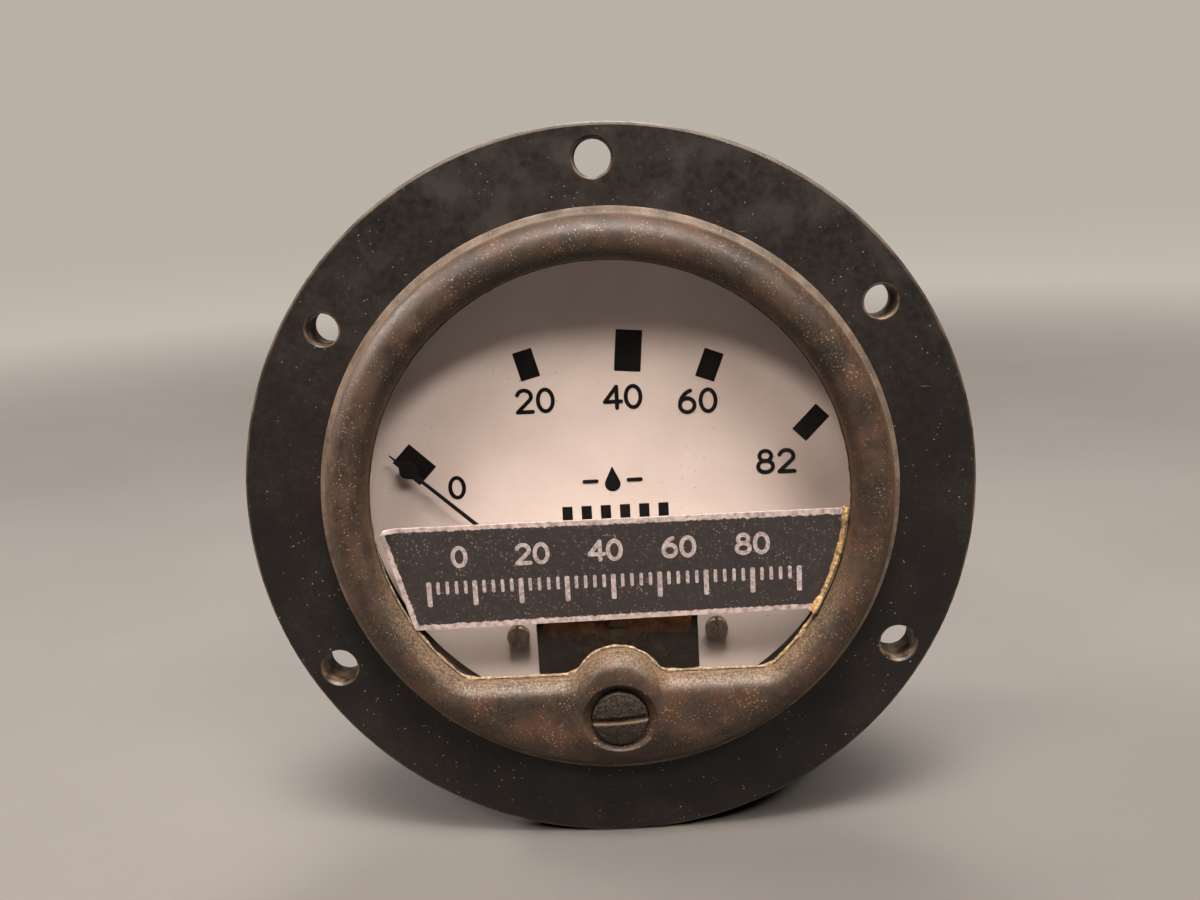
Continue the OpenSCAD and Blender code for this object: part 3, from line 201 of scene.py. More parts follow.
def laid(tree, ground, code, shape, thick):
    """Ground with a colour laid over it where a shape and a patchy thickness say."""
    shown = put(tree, "Math", {0: shape, 1: thick}, operation="MULTIPLY")
    return put(tree, "Mix", {0: shown, 6: ground, 7: linear(code)}, data_type="RGBA", out=2)


def specked(tree, place, ground, code, cell_mm, share, patch_mm, low, high, least, most, detail=4):
    """Ground with specks of a colour, one to a cell and share of it across, thick in some patches."""
    cells = put(tree, "TexVoronoi", {"Vector": place, "Scale": 1000 / cell_mm, "Randomness": 1.0})
    specks = put(tree, "MapRange", {0: cells, 1: share * 0.5, 2: share * 0.32})
    return laid(tree, ground, code, specks, patchy(tree, place, patch_mm, low, high, least, most, detail))


def banded(tree, place, ground, code, distance, inside, full, patch_mm, least, most):
    """Ground laid over with a colour where a distance goes from inside to full, in uneven patches."""
    band = put(tree, "MapRange", {0: distance, 1: inside, 2: full})
    return laid(tree, ground, code, band, patchy(tree, place, patch_mm, 0.35, 0.65, least, most, 5))


def layered(tree, place, ground, *layers):
    """Ground under layers, each a recipe with its colour and measures."""
    for recipe, *measures in layers:
        ground = recipe(tree, place, ground, *measures)
    return ground


def off_axis(tree, place):
    """Distance from the gauge's axis, and the place with its depth taken out."""
    x, y, z = put(tree, "SeparateXYZ", {0: place}).node.outputs
    flat = put(tree, "CombineXYZ", {0: x, 2: z})
    return put(tree, "VectorMath", {0: flat}, operation="LENGTH", out="Value"), flat


# Black phenolic, pressed in a polished mould: near-black with a soft satin sheen, brown-grey dust in
# its pores, fine handling scratches, and tan filler showing where edges have rubbed. The grains of
# dust are drawn larger than real, so that they show.
phenolic, tree, shader, place = new_finish("pressed_black_phenolic", Roughness=0.4, Specular_IOR_Level=0.26)
from_axis, flat_place = off_axis(tree, place)
ground = mottled(tree, place, 7, (0.35, "#100e0d"), (0.52, "#141210"), (0.66, "#1b1815"), detail=6, rough=0.6)
across, depth, height = put(tree, "SeparateXYZ", {0: place}).node.outputs
ground = layered(tree, place, ground, (specked, "#8d8074", 0.8, 0.26, 3.5, 0.44, 0.62, 0, 0.8),
                 (specked, "#4a4139", 0.3, 0.6, 7, 0.4, 0.68, 0.05, 0.28),
                 # Greyer towards the top of the case, in patches.
                 (banded, "#322e2c", height, -0.01, 0.044, 0.9, 0.1, 0.5),
                 (banded, "#3b3734", height, 0.01, 0.044, 6, -0.5, 0.6))
drawn = put(tree, "Mapping", {0: place, "Rotation": (0, 0.7, 0), "Scale": (0.1, 1, 1)})
ground = specked(tree, drawn, ground, "#6f655c", 0.9, 0.13, 6, 0.45, 0.65, 0, 0.7)
around = put(tree, "CombineXYZ", {0: from_axis, 1: depth})
flange_r, flange_t = 0.04445, 0.0053
for edge_depth in (-flange_t, 0.0):
    edge = (flange_r, edge_depth, 0)
    reach = put(tree, "VectorMath", {0: around, 1: edge}, operation="DISTANCE", out="Value")
    ground = banded(tree, place, ground, "#6d5c4a", reach, 0.00042, 0.0002, 3, 0.05, 0.55)
panel_hole, side_hole = (0.04048, 0.0022), (0.0398, 0.00195)
for angle, (circle_r, bore_r) in ((90, panel_hole), (210, panel_hole), (330, panel_hole),
                                  (34.1, side_hole), (145.9, side_hole)):
    x, z = swung(circle_r, 0, angle)
    reach = put(tree, "VectorMath", {0: flat_place, 1: (x, 0, z)}, operation="DISTANCE", out="Value")
    ground = banded(tree, place, ground, "#7d6a55", reach, bore_r + 0.0003, bore_r + 0.00016, 1.6, 0.0, 0.55)
wire(shader, {"Base Color": ground, "Roughness": patchy(tree, place, 2.2, 0.3, 0.7, 0.36, 0.46, 5),
              "Normal": grained(tree, place, 0.6, 0.014, 0.7)})
dress(phenolic, "case_moulding")


# Bezel. Brown-grey phenolic ring, pressed in a polished mould and since matt with handling: a high roll,
# a chin across the bottom, a lobe round the zero screw and a skirt that snaps into the case.
def at(x, y, up):
    """Point of the row from x to the right, y up the dial and up out of it, in mm."""
    return Vector((x, -up, y)) / 1000


# Heights above the panel, radii from the gauge's axis and heights up the dial, in mm.
front, seat, glass_top, glass_low = 5.3, 7.05, 6.75, 5.15
foot, outer_lip, pocket, skirt, skirt_end = 34.325, 35.025, 30.825, 31.925, 1.0
window, zero_y, chord, pocket_flat = 29.025, -26.625, -22.025, -23.125
lobe_r, fillet, corner, crest, rim, foot_rise = 5.6, 2.4, 3.2, 4.7, 2.35, 1.1
lobe_y = chord + 3.5 - lobe_r
lobe_x = math.sqrt((lobe_r + fillet) ** 2 - (chord + fillet - lobe_y) ** 2)
corner_x = math.sqrt((window - corner) ** 2 - (chord + corner) ** 2)


def loop(cx, cy, rx, ry, start=0, end=360, count=28):
    """Points along an ellipse or a part of it, in degrees."""
    angles = [math.radians(start + (end - start) * i / count) for i in range(count + 1)]
    return [(cx + rx * math.cos(a), cy + ry * math.sin(a)) for a in angles]


def arc(cx, cy, r, start, end, count):
    """Points along an arc, in degrees, without its last point."""
    return loop(cx, cy, r, r, start, end, count)[:-1]


def straight(x0, x1, y, count):
    """Points along a level line, without its last point."""
    return [(x0 + (x1 - x0) * i / count, y) for i in range(count)]


corner_turn = math.degrees(math.atan2(chord + corner, corner_x))
crown = math.degrees(math.atan2(chord + fillet - lobe_y, lobe_x))
window_edge = (arc(corner_x, chord + corner, corner, -90, corner_turn, 14)
               + arc(0, 0, window, corner_turn, 180 - corner_turn, 200)
               + arc(-corner_x, chord + corner, corner, 180 - corner_turn, 270, 14)
               + straight(-corner_x, -lobe_x, chord, 22)
               + arc(-lobe_x, chord + fillet, fillet, -90, -crown, 12)
               + arc(0, lobe_y, lobe_r, 180 - crown, crown, 36)
               + arc(lobe_x, chord + fillet, fillet, 180 + crown, 270, 12)
               + straight(lobe_x, corner_x, chord, 22))


def dome(x, y):
    """Rise round the zero screw, which runs up into the lobe."""
    full_r, width, rise = 4.35, 2.65, 0.8
    share = min(max((math.hypot(x, max(zero_y - y, y - lobe_y, 0)) - full_r) / width, 0), 1)
    return rise * (1 - share * share * (3 - 2 * share))


def quarter(depth, width):
    """Rise of a quarter round, from 0 at its edge to 1 at its full width."""
    share = min(max(depth, 0), width) / width
    return math.sqrt(1 - (1 - share) ** 2)


def roll(i, r, inner, slant):
    """Height of the roll at radius r on the ray through point i of the window's edge."""
    outer_width, inner_width, blend = 3.2, 2.5, 0.5
    x, y = window_edge[i]
    rise = dome(x / inner * r, y / inner * r)
    up = foot_rise + (crest + rise - foot_rise) * quarter(foot - r, outer_width + 0.35 * (window - inner))
    down = rim + rise + (crest - rim) * quarter((r - inner) * slant, inner_width)
    soft = max(blend - abs(up - down), 0) / blend
    return min(up, down) - soft * soft * blend / 4


def ring_rows():
    """The bezel's section at each point of the window's edge, from the foot over the roll and back."""
    rays = []
    count = len(window_edge)
    for i, (x, y) in enumerate(window_edge):
        inner = math.hypot(x, y)
        before, after = window_edge[i - 1], window_edge[(i + 1) % count]
        tx, ty = after[0] - before[0], after[1] - before[1]
        slant = abs(x * ty - y * tx) / inner / math.hypot(tx, ty)
        section = [(outer_lip, front), (outer_lip, front + 0.72), (outer_lip - 0.08, front + 0.92),
                   (outer_lip - 0.28, front + 1.02), (foot + 0.06, front + 1.06)]
        for j in range(45):
            r = foot + (inner - foot) * (1 - math.cos(math.pi * j / 44)) / 2
            section.append((r, front + (foot_rise if j == 0 else roll(i, r, inner, slant))))
        edge = front + rim + dome(x, y)
        section[-1] = (inner + 0.05, edge)
        section += [(inner, edge - 0.06), (inner, seat + 0.1), (inner + 0.1, seat)]
        end = min(pocket, pocket_flat * inner / y) if y < -1 else pocket
        section += [(end, seat), (end, front - 1 if end < pocket - 0.01 else glass_low - 0.8),
                    (pocket, front - 1), (pocket, skirt_end), (skirt - 0.15, skirt_end),
                    (skirt, skirt_end + 0.15), (skirt, front)]
        rays.append([at(x / inner * r, y / inner * r, h) for r, h in section])
    return rays


def new_piece(name, mesh, slot, *nodes, material=None, body="gauge_body"):
    """Puts a mesh in the scene as a piece of the gauge that stands for these CAD nodes."""
    mesh.name = name
    piece = bpy.data.objects.new(name, mesh)
    bpy.context.scene.collection.objects.link(piece)
    if material:
        mesh.materials.clear()
        mesh.materials.append(material)
    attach(piece, body)
    if nodes:
        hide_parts(*nodes)
    return piece


def grid_mesh(rows, closed_rows=True):
    """Mesh of quads through closed rows of points."""
    wide, high = len(rows[0]), len(rows)
    mesh = bpy.data.meshes.new("grid")
    quads = []
    for j in range(high if closed_rows else high - 1):
        for i in range(wide):
            a, b = j * wide + i, j * wide + (i + 1) % wide
            c, d = (j + 1) % high * wide + (i + 1) % wide, (j + 1) % high * wide + i
            quads.append((a, b, c, d))
    mesh.from_pydata([p for row in rows for p in row], [], quads)
    return mesh


def tidy(mesh, sharp=35):
    """Merges doubles, turns faces outwards and smooths all but sharp edges."""
    work = bmesh.new()
    work.from_mesh(mesh)
    bmesh.ops.remove_doubles(work, verts=work.verts, dist=2e-7)
    bmesh.ops.delete(work, geom=[e for e in work.edges if not e.link_faces], context="EDGES")
    bmesh.ops.delete(work, geom=[v for v in work.verts if not v.link_faces], context="VERTS")
    bmesh.ops.recalc_face_normals(work, faces=work.faces)
    work.to_mesh(mesh)
    work.free()
    mesh.polygons.foreach_set("use_smooth", [True] * len(mesh.polygons))
    mesh.set_sharp_from_angle(angle=math.radians(sharp))
    return mesh


def lathe(section, centre, count):
    """Solid turned about a line out of the dial through centre; section is (radius, height) in mm."""
    rows = []
    for i in range(count):
        s, c = math.sin(2 * math.pi * i / count), math.cos(2 * math.pi * i / count)
        rows.append([at(centre[0] + r * c, centre[1] + r * s, h) for r, h in section])
    return tidy(grid_mesh(rows))


def cut_out(mesh, cutter):
    """Mesh less the cutter."""
    pair = [bpy.data.objects.new("cut", m) for m in (mesh, cutter)]
    for o in pair:
        bpy.context.scene.collection.objects.link(o)
    modifier = pair[0].modifiers.new("cut", "BOOLEAN")
    modifier.operation, modifier.solver, modifier.object = "DIFFERENCE", "EXACT", pair[1]
    bpy.context.view_layer.update()
    result = bpy.data.meshes.new_from_object(pair[0].evaluated_get(bpy.context.evaluated_depsgraph_get()))
    for o in pair:
        bpy.data.objects.remove(o)
    return result


recess = [(0, 8.9), (3.58, 8.9), (3.58, 9.5), (3.7, 9.58), (3.9, 9.7), (4.12, 9.92), (4.3, 10.22),
          (4.48, 10.5), (4.7, 10.7), (5.0, 10.83), (5.4, 10.93), (5.4, 14), (0, 14)]
bush_bore = [(0, 0), (2.3, 0), (2.3, 9.5), (0, 9.5)]
bezel_mesh = cut_out(tidy(grid_mesh(ring_rows())), lathe(recess, (0, zero_y), 128))
bezel_mesh = tidy(cut_out(bezel_mesh, lathe(bush_bore, (0, zero_y), 64)))
rim_points = kdtree.KDTree(len(window_edge))
for i, (x, y) in enumerate(window_edge):
    rim_points.insert((x, y, 0), i)
rim_points.balance()
spread_mm = [rim_points.find((v.co.x * 1000, v.co.z * 1000, 0))[2] + max(0, v.co.z * 1000 + 14) * 0.12
             for v in bezel_mesh.vertices]
bezel_mesh.attributes.new("from_window_mm", "FLOAT", "POINT").data.foreach_set("value", spread_mm)


def clouded(tree, place, ground, code, patch_mm, low, high, most, detail=4, rough=0.55):
    """Ground that goes over to a second colour in soft patches."""
    shown = patchy(tree, place, patch_mm, low, high, 0.0, most, detail, rough)
    return put(tree, "Mix", {0: shown, 6: ground, 7: linear(code)}, data_type="RGBA", out=2)


# Brown-grey phenolic, dulled by handling: an uneven brown with dark and tan grains of filler, drawn
# coarser than real, a dry broad sheen, a pale line along its foot's lip that is partly rubbed wear and
# partly a painted highlight, and paler rubbed lips round the window.
brown, tree, shader, place = new_finish("handled_brown_phenolic", Roughness=0.5, Specular_IOR_Level=0.4,
                                        Sheen_Weight=0.09, Sheen_Roughness=0.5, Sheen_Tint=linear("#dba87f"))
ground = mottled(tree, place, 6, (0.38, "#120e0b"), (0.5, "#211913"), (0.62, "#38291e"), detail=6, rough=0.66)
from_window = put(tree, "Attribute", attribute_name="from_window_mm", out="Fac")
ground = layered(tree, place, ground, (clouded, "#482c1d", 4.3, 0.5, 0.64, 0.55, 5, 0.6),
                 (clouded, "#3a2e23", 0.2, 0.45, 0.6, 0.55, 2),
                 (specked, "#17120e", 0.45, 0.6, 2.5, 0.4, 0.6, 0.1, 0.7),
                 (specked, "#8d7a60", 0.4, 0.5, 2.2, 0.4, 0.64, 0, 0.75, 5),
                 # Pale band at the foot's lip: partly rubbed wear, partly a painted highlight where the lip
                 # catches the light.
                 (banded, "#7a6e61", off_axis(tree, place)[0], 0.0340, 0.0343, 2.5, 0.15, 0.6),
                 (specked, "#a06f41", 1.0, 0.17, 5, 0.4, 0.62, 0, 0.8),
                 (banded, "#4d3f31", from_window, 3.0, 0.4, 0.9, 0.0, 0.5),
                 (banded, "#7b6a54", from_window, 1.4, 0.1, 0.28, -0.3, 0.85))
wire(shader, {"Base Color": ground, "Roughness": patchy(tree, place, 1.5, 0.3, 0.7, 0.46, 0.66, 5),
              "Normal": grained(tree, place, 0.3, 0.03, 0.8, 5, 0.7)})
new_piece("bezel", bezel_mesh, "brown_phenolic", "bezel_cover", material=brown)


# Dial. Sheet aluminium sprayed with warm white enamel, with five black blocks, plain numbers, a drop
# between two dashes and a row of six short bars printed on it.
# Sprayed white enamel: smooth, warm white gone slightly uneven, with a few brown specks of dust.
enamel, tree, shader, place = new_finish("sprayed_white_enamel", Roughness=0.42)
ground = mottled(tree, place, 12, (0.3, "#d9cac2"), (0.7, "#e6d8d0"), detail=5)
wire(shader, {"Base Color": specked(tree, place, ground, "#8c7a68", 1.6, 0.12, 8, 0.5, 0.6, 0, 1),
              "Normal": grained(tree, place, 0.8, 0.006, detail=3)})
dress(enamel, "dial_plate")


def plain(name, patch_mm, *stops, gloss=None, grain=None, detail=4, rough=0.55, **constants):
    """Finish with tones in patches, gloss that wanders between two values and a grain (mm, height)."""
    material, tree, shader, place = new_finish(name, **constants)
    wire(shader, {"Base Color": mottled(tree, place, patch_mm, *stops, detail=detail, rough=rough)})
    if gloss:
        wire(shader, {"Roughness": patchy(tree, place, patch_mm * 0.6, 0.3, 0.7, *gloss)})
    if grain:
        wire(shader, {"Normal": grained(tree, place, *grain)})
    return material


# Printing ink: dense and dead black, so that the marks read at a glance.
ink = plain("matt_printing_ink", 1.2, (0.3, "#080707"), (0.7, "#100f0e"),
            Roughness=0.6, Specular_IOR_Level=0.15)

pivot_y, dial_up = -19.525, -1.2
print_up = dial_up + 0.03


def flat_shapes(outlines, low, high, strokes=()):
    """Thin mesh from flat outlines and pen strokes (points, width) in mm, from height low to high."""
    work, stroke_step = bmesh.new(), 0.004

    def plate(outline):
        top = [work.verts.new(at(x, y, high)) for x, y in outline]
        base = [work.verts.new(at(x, y, low)) for x, y in outline]
        work.faces.new(top)
        work.faces.new(base[::-1])
        for i in range(len(outline)):
            k = (i + 1) % len(outline)
            work.faces.new((top[i], base[i], base[k], top[k]))

    for outline in outlines:
        plate(outline)
    for points, width in strokes:
        closed = math.dist(points[0], points[-1]) < 1e-6
        across = []
        for i in range(len(points)):
            before = points[i - 1 if i else (-2 if closed else 0)]
            after = points[i + 1 if i + 1 < len(points) else (1 if closed else i)]
            angle = math.atan2(after[1] - before[1], after[0] - before[0])
            across.append((angle, -math.sin(angle) * width / 2, math.cos(angle) * width / 2))
        high += stroke_step
        for i in range(len(points) - 1):
            (x, y), (_, u, v), (x2, y2), (_, u2, v2) = points[i], across[i], points[i + 1], across[i + 1]
            plate([(x + u, y + v), (x - u, y - v), (x2 - u2, y2 - v2), (x2 + u2, y2 + v2)])
        if not closed:
            for i, back, side in ((0, 180, -1), (-1, 0, 1)):
                (x, y), (angle, u, v) = points[i], across[i]
                facing = math.degrees(angle) + back
                plate(arc(x, y, width / 2, facing - 90, facing + 90, 8) + [(x + u * side, y + v * side)])
    mesh = bpy.data.meshes.new("shapes")
    work.to_mesh(mesh)
    work.free()
    return mesh


pen = {"0": [loop(0.36, 0.5, 0.34, 0.5)],
       "2": [loop(0.36, 0.72, 0.32, 0.28, 165, -40, 14) + [(0.03, 0.0)], [(0.03, 0.0), (0.72, 0.0)]],
       "4": [[(0.56, 0.0), (0.56, 1.0)], [(0.56, 1.0), (0.0, 0.3)], [(0.0, 0.3), (0.76, 0.3)]],
       "6": [loop(0.37, 0.32, 0.33, 0.32), loop(0.74, 0.32, 0.7, 0.7, 180, 108, 12)],
       "8": [loop(0.36, 0.76, 0.27, 0.24), loop(0.36, 0.27, 0.34, 0.27)]}


def lettered(number, x, y, height, width, lean=0.0):
    """Pen strokes of a number, centred on x, y and leaning by some degrees."""
    shapes, advance, gap = [], 0.96, 0.24
    start = -(len(number) * advance - gap) / 2
    for k, digit in enumerate(number):
        for line in pen[digit]:
            spots = [swung((start + k * advance + px) * height, (py - 0.5) * height, lean) for px, py in line]
            shapes.append(([(x + px, y + py) for px, py in spots], width))
    return shapes


def block(angle, radius, wide, long):
    """A printed block with slightly soft corners, square to the needle's path."""
    soft, outline = 0.12, []
    for sx, sy, start in ((1, 1, 0), (-1, 1, 90), (-1, -1, 180), (1, -1, 270)):
        outline += arc(sx * (wide / 2 - soft), radius + sy * (long / 2 - soft), soft, start, start + 90, 3)
    return [(x, pivot_y + y) for x, y in (swung(u, v, -angle) for u, v in outline)]


marks = [block(-46.3, 34.0, 3.3, 4.5), block(-15.1, 36.8, 2.5, 3.7), block(4.9, 36.8, 3.3, 5.2),
         block(20.9, 36.8, 2.5, 3.7), block(44.0, 36.8, 2.4, 4.3)]
figures = (lettered("0", -19.4, 0.7, 2.6, 0.5) + lettered("20", -8.8, 11.4, 2.75, 0.5)
           + lettered("40", 2.2, 11.35, 2.7, 0.5) + lettered("60", 11.5, 10.4, 2.75, 0.5)
           + lettered("82", 21.1, 2.2, 2.75, 0.5))


def growing(name, result, **inputs):
    """A geometry tree with these inputs, named by kind: (tree, the inputs)."""
    tree = bpy.data.node_groups.new(name, "GeometryNodeTree")
    for kind, labels in inputs.items():
        for label in labels:
            tree.interface.new_socket(name=label, in_out="INPUT", socket_type="NodeSocket" + kind)
    tree.interface.new_socket(name=result, in_out="OUTPUT", socket_type="NodeSocketGeometry")
    return tree, put(tree, "NodeGroupInput").node.outputs


def finished(tree, shape, material):
    """Ends a geometry tree with real geometry in its material."""
    real = put(tree, "GeometryNodeRealizeInstances", {"Geometry": shape})
    done = put(tree, "GeometryNodeSetMaterial", {"Geometry": real, "Material": material})
    put(tree, "NodeGroupOutput", {0: done})
    return tree


def grown(tree, mesh, **values):
    """Runs a geometry tree on a mesh, its inputs set by identifier, and returns the plain mesh it makes."""
    carrier = bpy.data.objects.new("carrier", mesh)
    bpy.context.scene.collection.objects.link(carrier)
    modifier = carrier.modifiers.new("growth", "NODES")
    modifier.node_group = tree
    for item in tree.interface.items_tree:
        key = item.name.replace(" ", "_")
        if key in values:
            modifier[item.identifier] = values[key]
    bpy.context.view_layer.update()
    made = bpy.data.meshes.new_from_object(carrier.evaluated_get(bpy.context.evaluated_depsgraph_get()))
    carrier.modifiers.remove(modifier)
    bpy.data.objects.remove(carrier)
    return made


def row_tree():
    """A row of upright bars with rounded ends, every so many of them long and wide."""
    tree, given = growing(
        "row_of_bars", "Bars", Int=("Count", "Long Every"), Vector=("First Top",), Material=("Material",),
        Float=("Pitch", "Short Length", "Short Width", "Long Length", "Long Width", "Rounding", "Thickness"))
    step = put(tree, "CombineXYZ", {0: given["Pitch"]})
    line = put(tree, "GeometryNodeMeshLine", {"Count": given["Count"], "Offset": step})
    index = put(tree, "GeometryNodeInputIndex")
    after = put(tree, "FunctionNodeIntegerMath", {0: index, 1: given["Long Every"]}, operation="MODULO")
    is_long = put(tree, "FunctionNodeCompare", {2: after, 3: 0}, data_type="INT", operation="EQUAL")
    is_short = put(tree, "FunctionNodeBooleanMath", {0: is_long}, operation="NOT")
    rise = put(tree, "CombineXYZ", {2: given["Thickness"]})
    stroke = put(tree, "GeometryNodeCurvePrimitiveLine", {"End": rise})
    bars = put(tree, "GeometryNodeJoinGeometry")
    for size, chosen in (("Short", is_short), ("Long", is_long)):
        outline = put(tree, "GeometryNodeCurvePrimitiveQuadrilateral",
                      {"Width": given[size + " Width"], "Height": given[size + " Length"]})
        outline = put(tree, "GeometryNodeFilletCurve",
                      {"Curve": outline, "Count": 5, "Radius": given["Rounding"], "Limit Radius": True},
                      mode="POLY")
        bar = put(tree, "GeometryNodeCurveToMesh",
                  {"Curve": stroke, "Profile Curve": outline, "Fill Caps": True})
        down = put(tree, "Math", {0: given[size + " Length"], 1: -0.5}, operation="MULTIPLY")
        hang = put(tree, "CombineXYZ", {1: down})
        bar = put(tree, "GeometryNodeTransform", {"Geometry": bar, "Translation": hang})
        placed = put(tree, "GeometryNodeInstanceOnPoints",
                     {"Points": line, "Selection": chosen, "Instance": bar})
        wire(bars.node, {0: placed})
    turned = put(tree, "GeometryNodeTransform", {"Geometry": bars, "Translation": given["First Top"],
                                                 "Rotation": (math.pi / 2, 0, 0)})
    return finished(tree, turned, given["Material"])


bar_tree = row_tree()


def bar_row(first_top, pitch, count, short, long, every, rounding, thick, material):
    """Bars in a row to the right of first_top; short and long are (width, length) in mm."""
    mesh = grown(bar_tree, bpy.data.meshes.new("row"), Pitch=pitch / 1000, Count=count, Long_Every=every,
                 Short_Width=short[0] / 1000, Short_Length=short[1] / 1000, Long_Width=long[0] / 1000,
                 Long_Length=long[1] / 1000, Rounding=rounding / 1000, Thickness=thick / 1000,
                 First_Top=first_top, Material=material)
    return tidy(mesh, 30)


bar_size = (1.3, 3.5)
bars = bar_row(at(-5.55, -2.5, dial_up), 2.45, 6, bar_size, bar_size, 1, 0.03, 0.03, ink)
new_piece("dial_bars", bars, "needle_black")
drop = loop(0.4, 0.25, 1.0, 1.0, 150, 390, 20) + [(0.4, 2.55)]
figures += [([(-3.2, 0.7), (-1.6, 0.7)], 0.45), ([(2.4, 0.7), (4.0, 0.7)], 0.45)]
new_piece("dial_blocks", flat_shapes(marks + [drop], dial_up, print_up), "needle_black", material=ink)
new_piece("dial_figures", flat_shapes([], dial_up, print_up, figures), "needle_black", material=ink)


# Window glass and its gasket. Plain sheet glass, a little dusty, bedded on a thin black gasket under the
# bezel's rim.
# Sheet glass: clear, with gloss at its edges, a thin film of dust, scattered specks, and more dust
# settled along its lower edge, laid on thick enough there to stand in as painted light over the dark
# opening behind. The specks are drawn larger than real, so that they show.
glass, tree, shader, place = new_finish("dusty_sheet_glass", Roughness=0.08, IOR=1.5, Specular_IOR_Level=0.5)
film = patchy(tree, place, 14, 0.42, 0.78, 0.0, 0.018, 6, 0.65, 0.6)
cells = put(tree, "TexVoronoi", {"Vector": place, "Scale": 1000 / 1.3, "Randomness": 1.0})
specks = put(tree, "MapRange", {0: cells, 1: 0.07, 2: 0.045})
thick = patchy(tree, place, 7, 0.45, 0.65, 0, 0.5)
specks = put(tree, "Math", {0: specks, 1: thick}, operation="MULTIPLY")
height = put(tree, "SeparateXYZ", {0: place}, out=2)
# Paler veil along the lower part: settled dust, and painted light over the dark opening behind.
settled_dust_and_light = put(tree, "MapRange", {0: height, 1: -0.013, 2: -0.018, 3: 0, 4: 0.034})
uneven = patchy(tree, place, 1.1, 0.2, 0.7, 0.5, 1, 5)
settled_dust_and_light = put(tree, "Math", {0: settled_dust_and_light, 1: uneven}, operation="MULTIPLY")
veil = put(tree, "Math", {0: film, 1: specks}, operation="MAXIMUM")
veil = put(tree, "Math", {0: veil, 1: settled_dust_and_light}, operation="MAXIMUM")
facing = put(tree, "LayerWeight", {"Blend": 0.5}, out="Facing")
gloss = put(tree, "Math", {0: facing, 1: 5.0}, operation="POWER")
gloss = put(tree, "MapRange", {0: gloss, 3: 0.03, 4: 0.9})
seen = put(tree, "Math", {0: veil, 1: gloss}, operation="ADD", use_clamp=True)
tones = put(tree, "ValToRGB", {0: veil})
clear, dusty = tones.node.color_ramp.elements
clear.color = linear("#0c0c0c")
dusty.position, dusty.color = 0.06, linear("#968b7e")
wire(shader, {"Base Color": tones, "Alpha": seen})
dress(glass, "window_glass")

# Sheet rubber, perished and dusty: dull black going brown.
dress(plain("perished_black_rubber", 0.8, (0.35, "#191613"), (0.7, "#4b3f33"), Roughness=0.8),
      "window_gasket")


# Placard. Thin aluminium plate, its field anodised charcoal and its border left bare, cemented to the
# glass. One corner is bent up. It carries plain numbers over a row of ticks.
def plate_point(u, v, lift=0.0):
    """Point on the plate, u from its left to its right end and v from its bottom to its top."""
    low, high = Vector((-24.72, -15.125)), Vector((-28.14, -2.6))
    left = low.lerp(high, v / 0.955) if v < 0.955 else high.lerp(Vector((-27.6, -2.03)), (v - 0.955) / 0.045)
    y = -14.525 + 12.5 * v
    right = Vector((math.sqrt(28.775 ** 2 - y * y), y))
    spot = left.lerp(right, u)
    bend = max(0.0, 1 - (spot - Vector((-28.1, -2.3))).length / 2.3)
    return at(spot.x + 0.25 * bend * bend, spot.y, glass_top + lift + 1.5 * bend * bend)


def plate_edge(u, v):
    """Distance to the plate's outline, in mm."""
    here = plate_point(u, v)
    return 1000 * min((here - plate_point(0, v)).length, (here - plate_point(1, v)).length,
                      (here - plate_point(u, 0)).length, (here - plate_point(u, 1)).length)


def outside_of(grid):
    """Points round the outside of a grid, once."""
    lowest, right, highest, left = grid[0], [row[-1] for row in grid], grid[-1], [row[0] for row in grid]
    return lowest[:-1] + right[:-1] + highest[:0:-1] + left[:0:-1]


wide, high, plate_t = 280, 66, 0.4
work = bmesh.new()
border = work.verts.layers.float.new("edge_mm")
top, base = ([[work.verts.new(plate_point(i / wide, j / high, lift)) for i in range(wide + 1)]
              for j in range(high + 1)] for lift in (plate_t, 0.0))
for j in range(high + 1):
    for i in range(wide + 1):
        top[j][i][border] = plate_edge(i / wide, j / high)
for j in range(high):
    for i in range(wide):
        work.faces.new((top[j][i], top[j][i + 1], top[j + 1][i + 1], top[j + 1][i]))
        work.faces.new((base[j + 1][i], base[j + 1][i + 1], base[j][i + 1], base[j][i]))
rim_top, rim_base = outside_of(top), outside_of(base)
for i in range(len(rim_top)):
    k = (i + 1) % len(rim_top)
    work.faces.new((rim_top[k], rim_top[i], rim_base[i], rim_base[k]))
plate_mesh = bpy.data.meshes.new("placard")
work.to_mesh(plate_mesh)
work.free()
tidy(plate_mesh, 40)

# Anodised aluminium with a bare border: a dry charcoal field full of fine pale scuffs, and an uneven
# silver edge with a painted glint, near white, on the corner that is bent up.
anodised, tree, shader, place = new_finish("charcoal_anodised_aluminium", Roughness=0.5, Metallic=0.0)
edge = put(tree, "Attribute", attribute_name="edge_mm", out="Fac")
uneven = patchy(tree, place, 0.5, 0.3, 0.7, -0.13, 0.13, 5)
ragged = put(tree, "Math", {0: edge, 1: uneven}, operation="ADD")
bare = put(tree, "MapRange", {0: ragged, 1: 0.72, 2: 0.62})
field = mottled(tree, place, 0.5, (0.35, "#1c1818"), (0.6, "#272221"))
field = specked(tree, place, field, "#7d6f66", 0.42, 0.55, 2, 0.38, 0.66, 0.05, 0.75)
bare_border_and_glint = mottled(tree, place, 0.7, (0.3, "#8d7f7c"), (0.6, "#cfc0ba"))
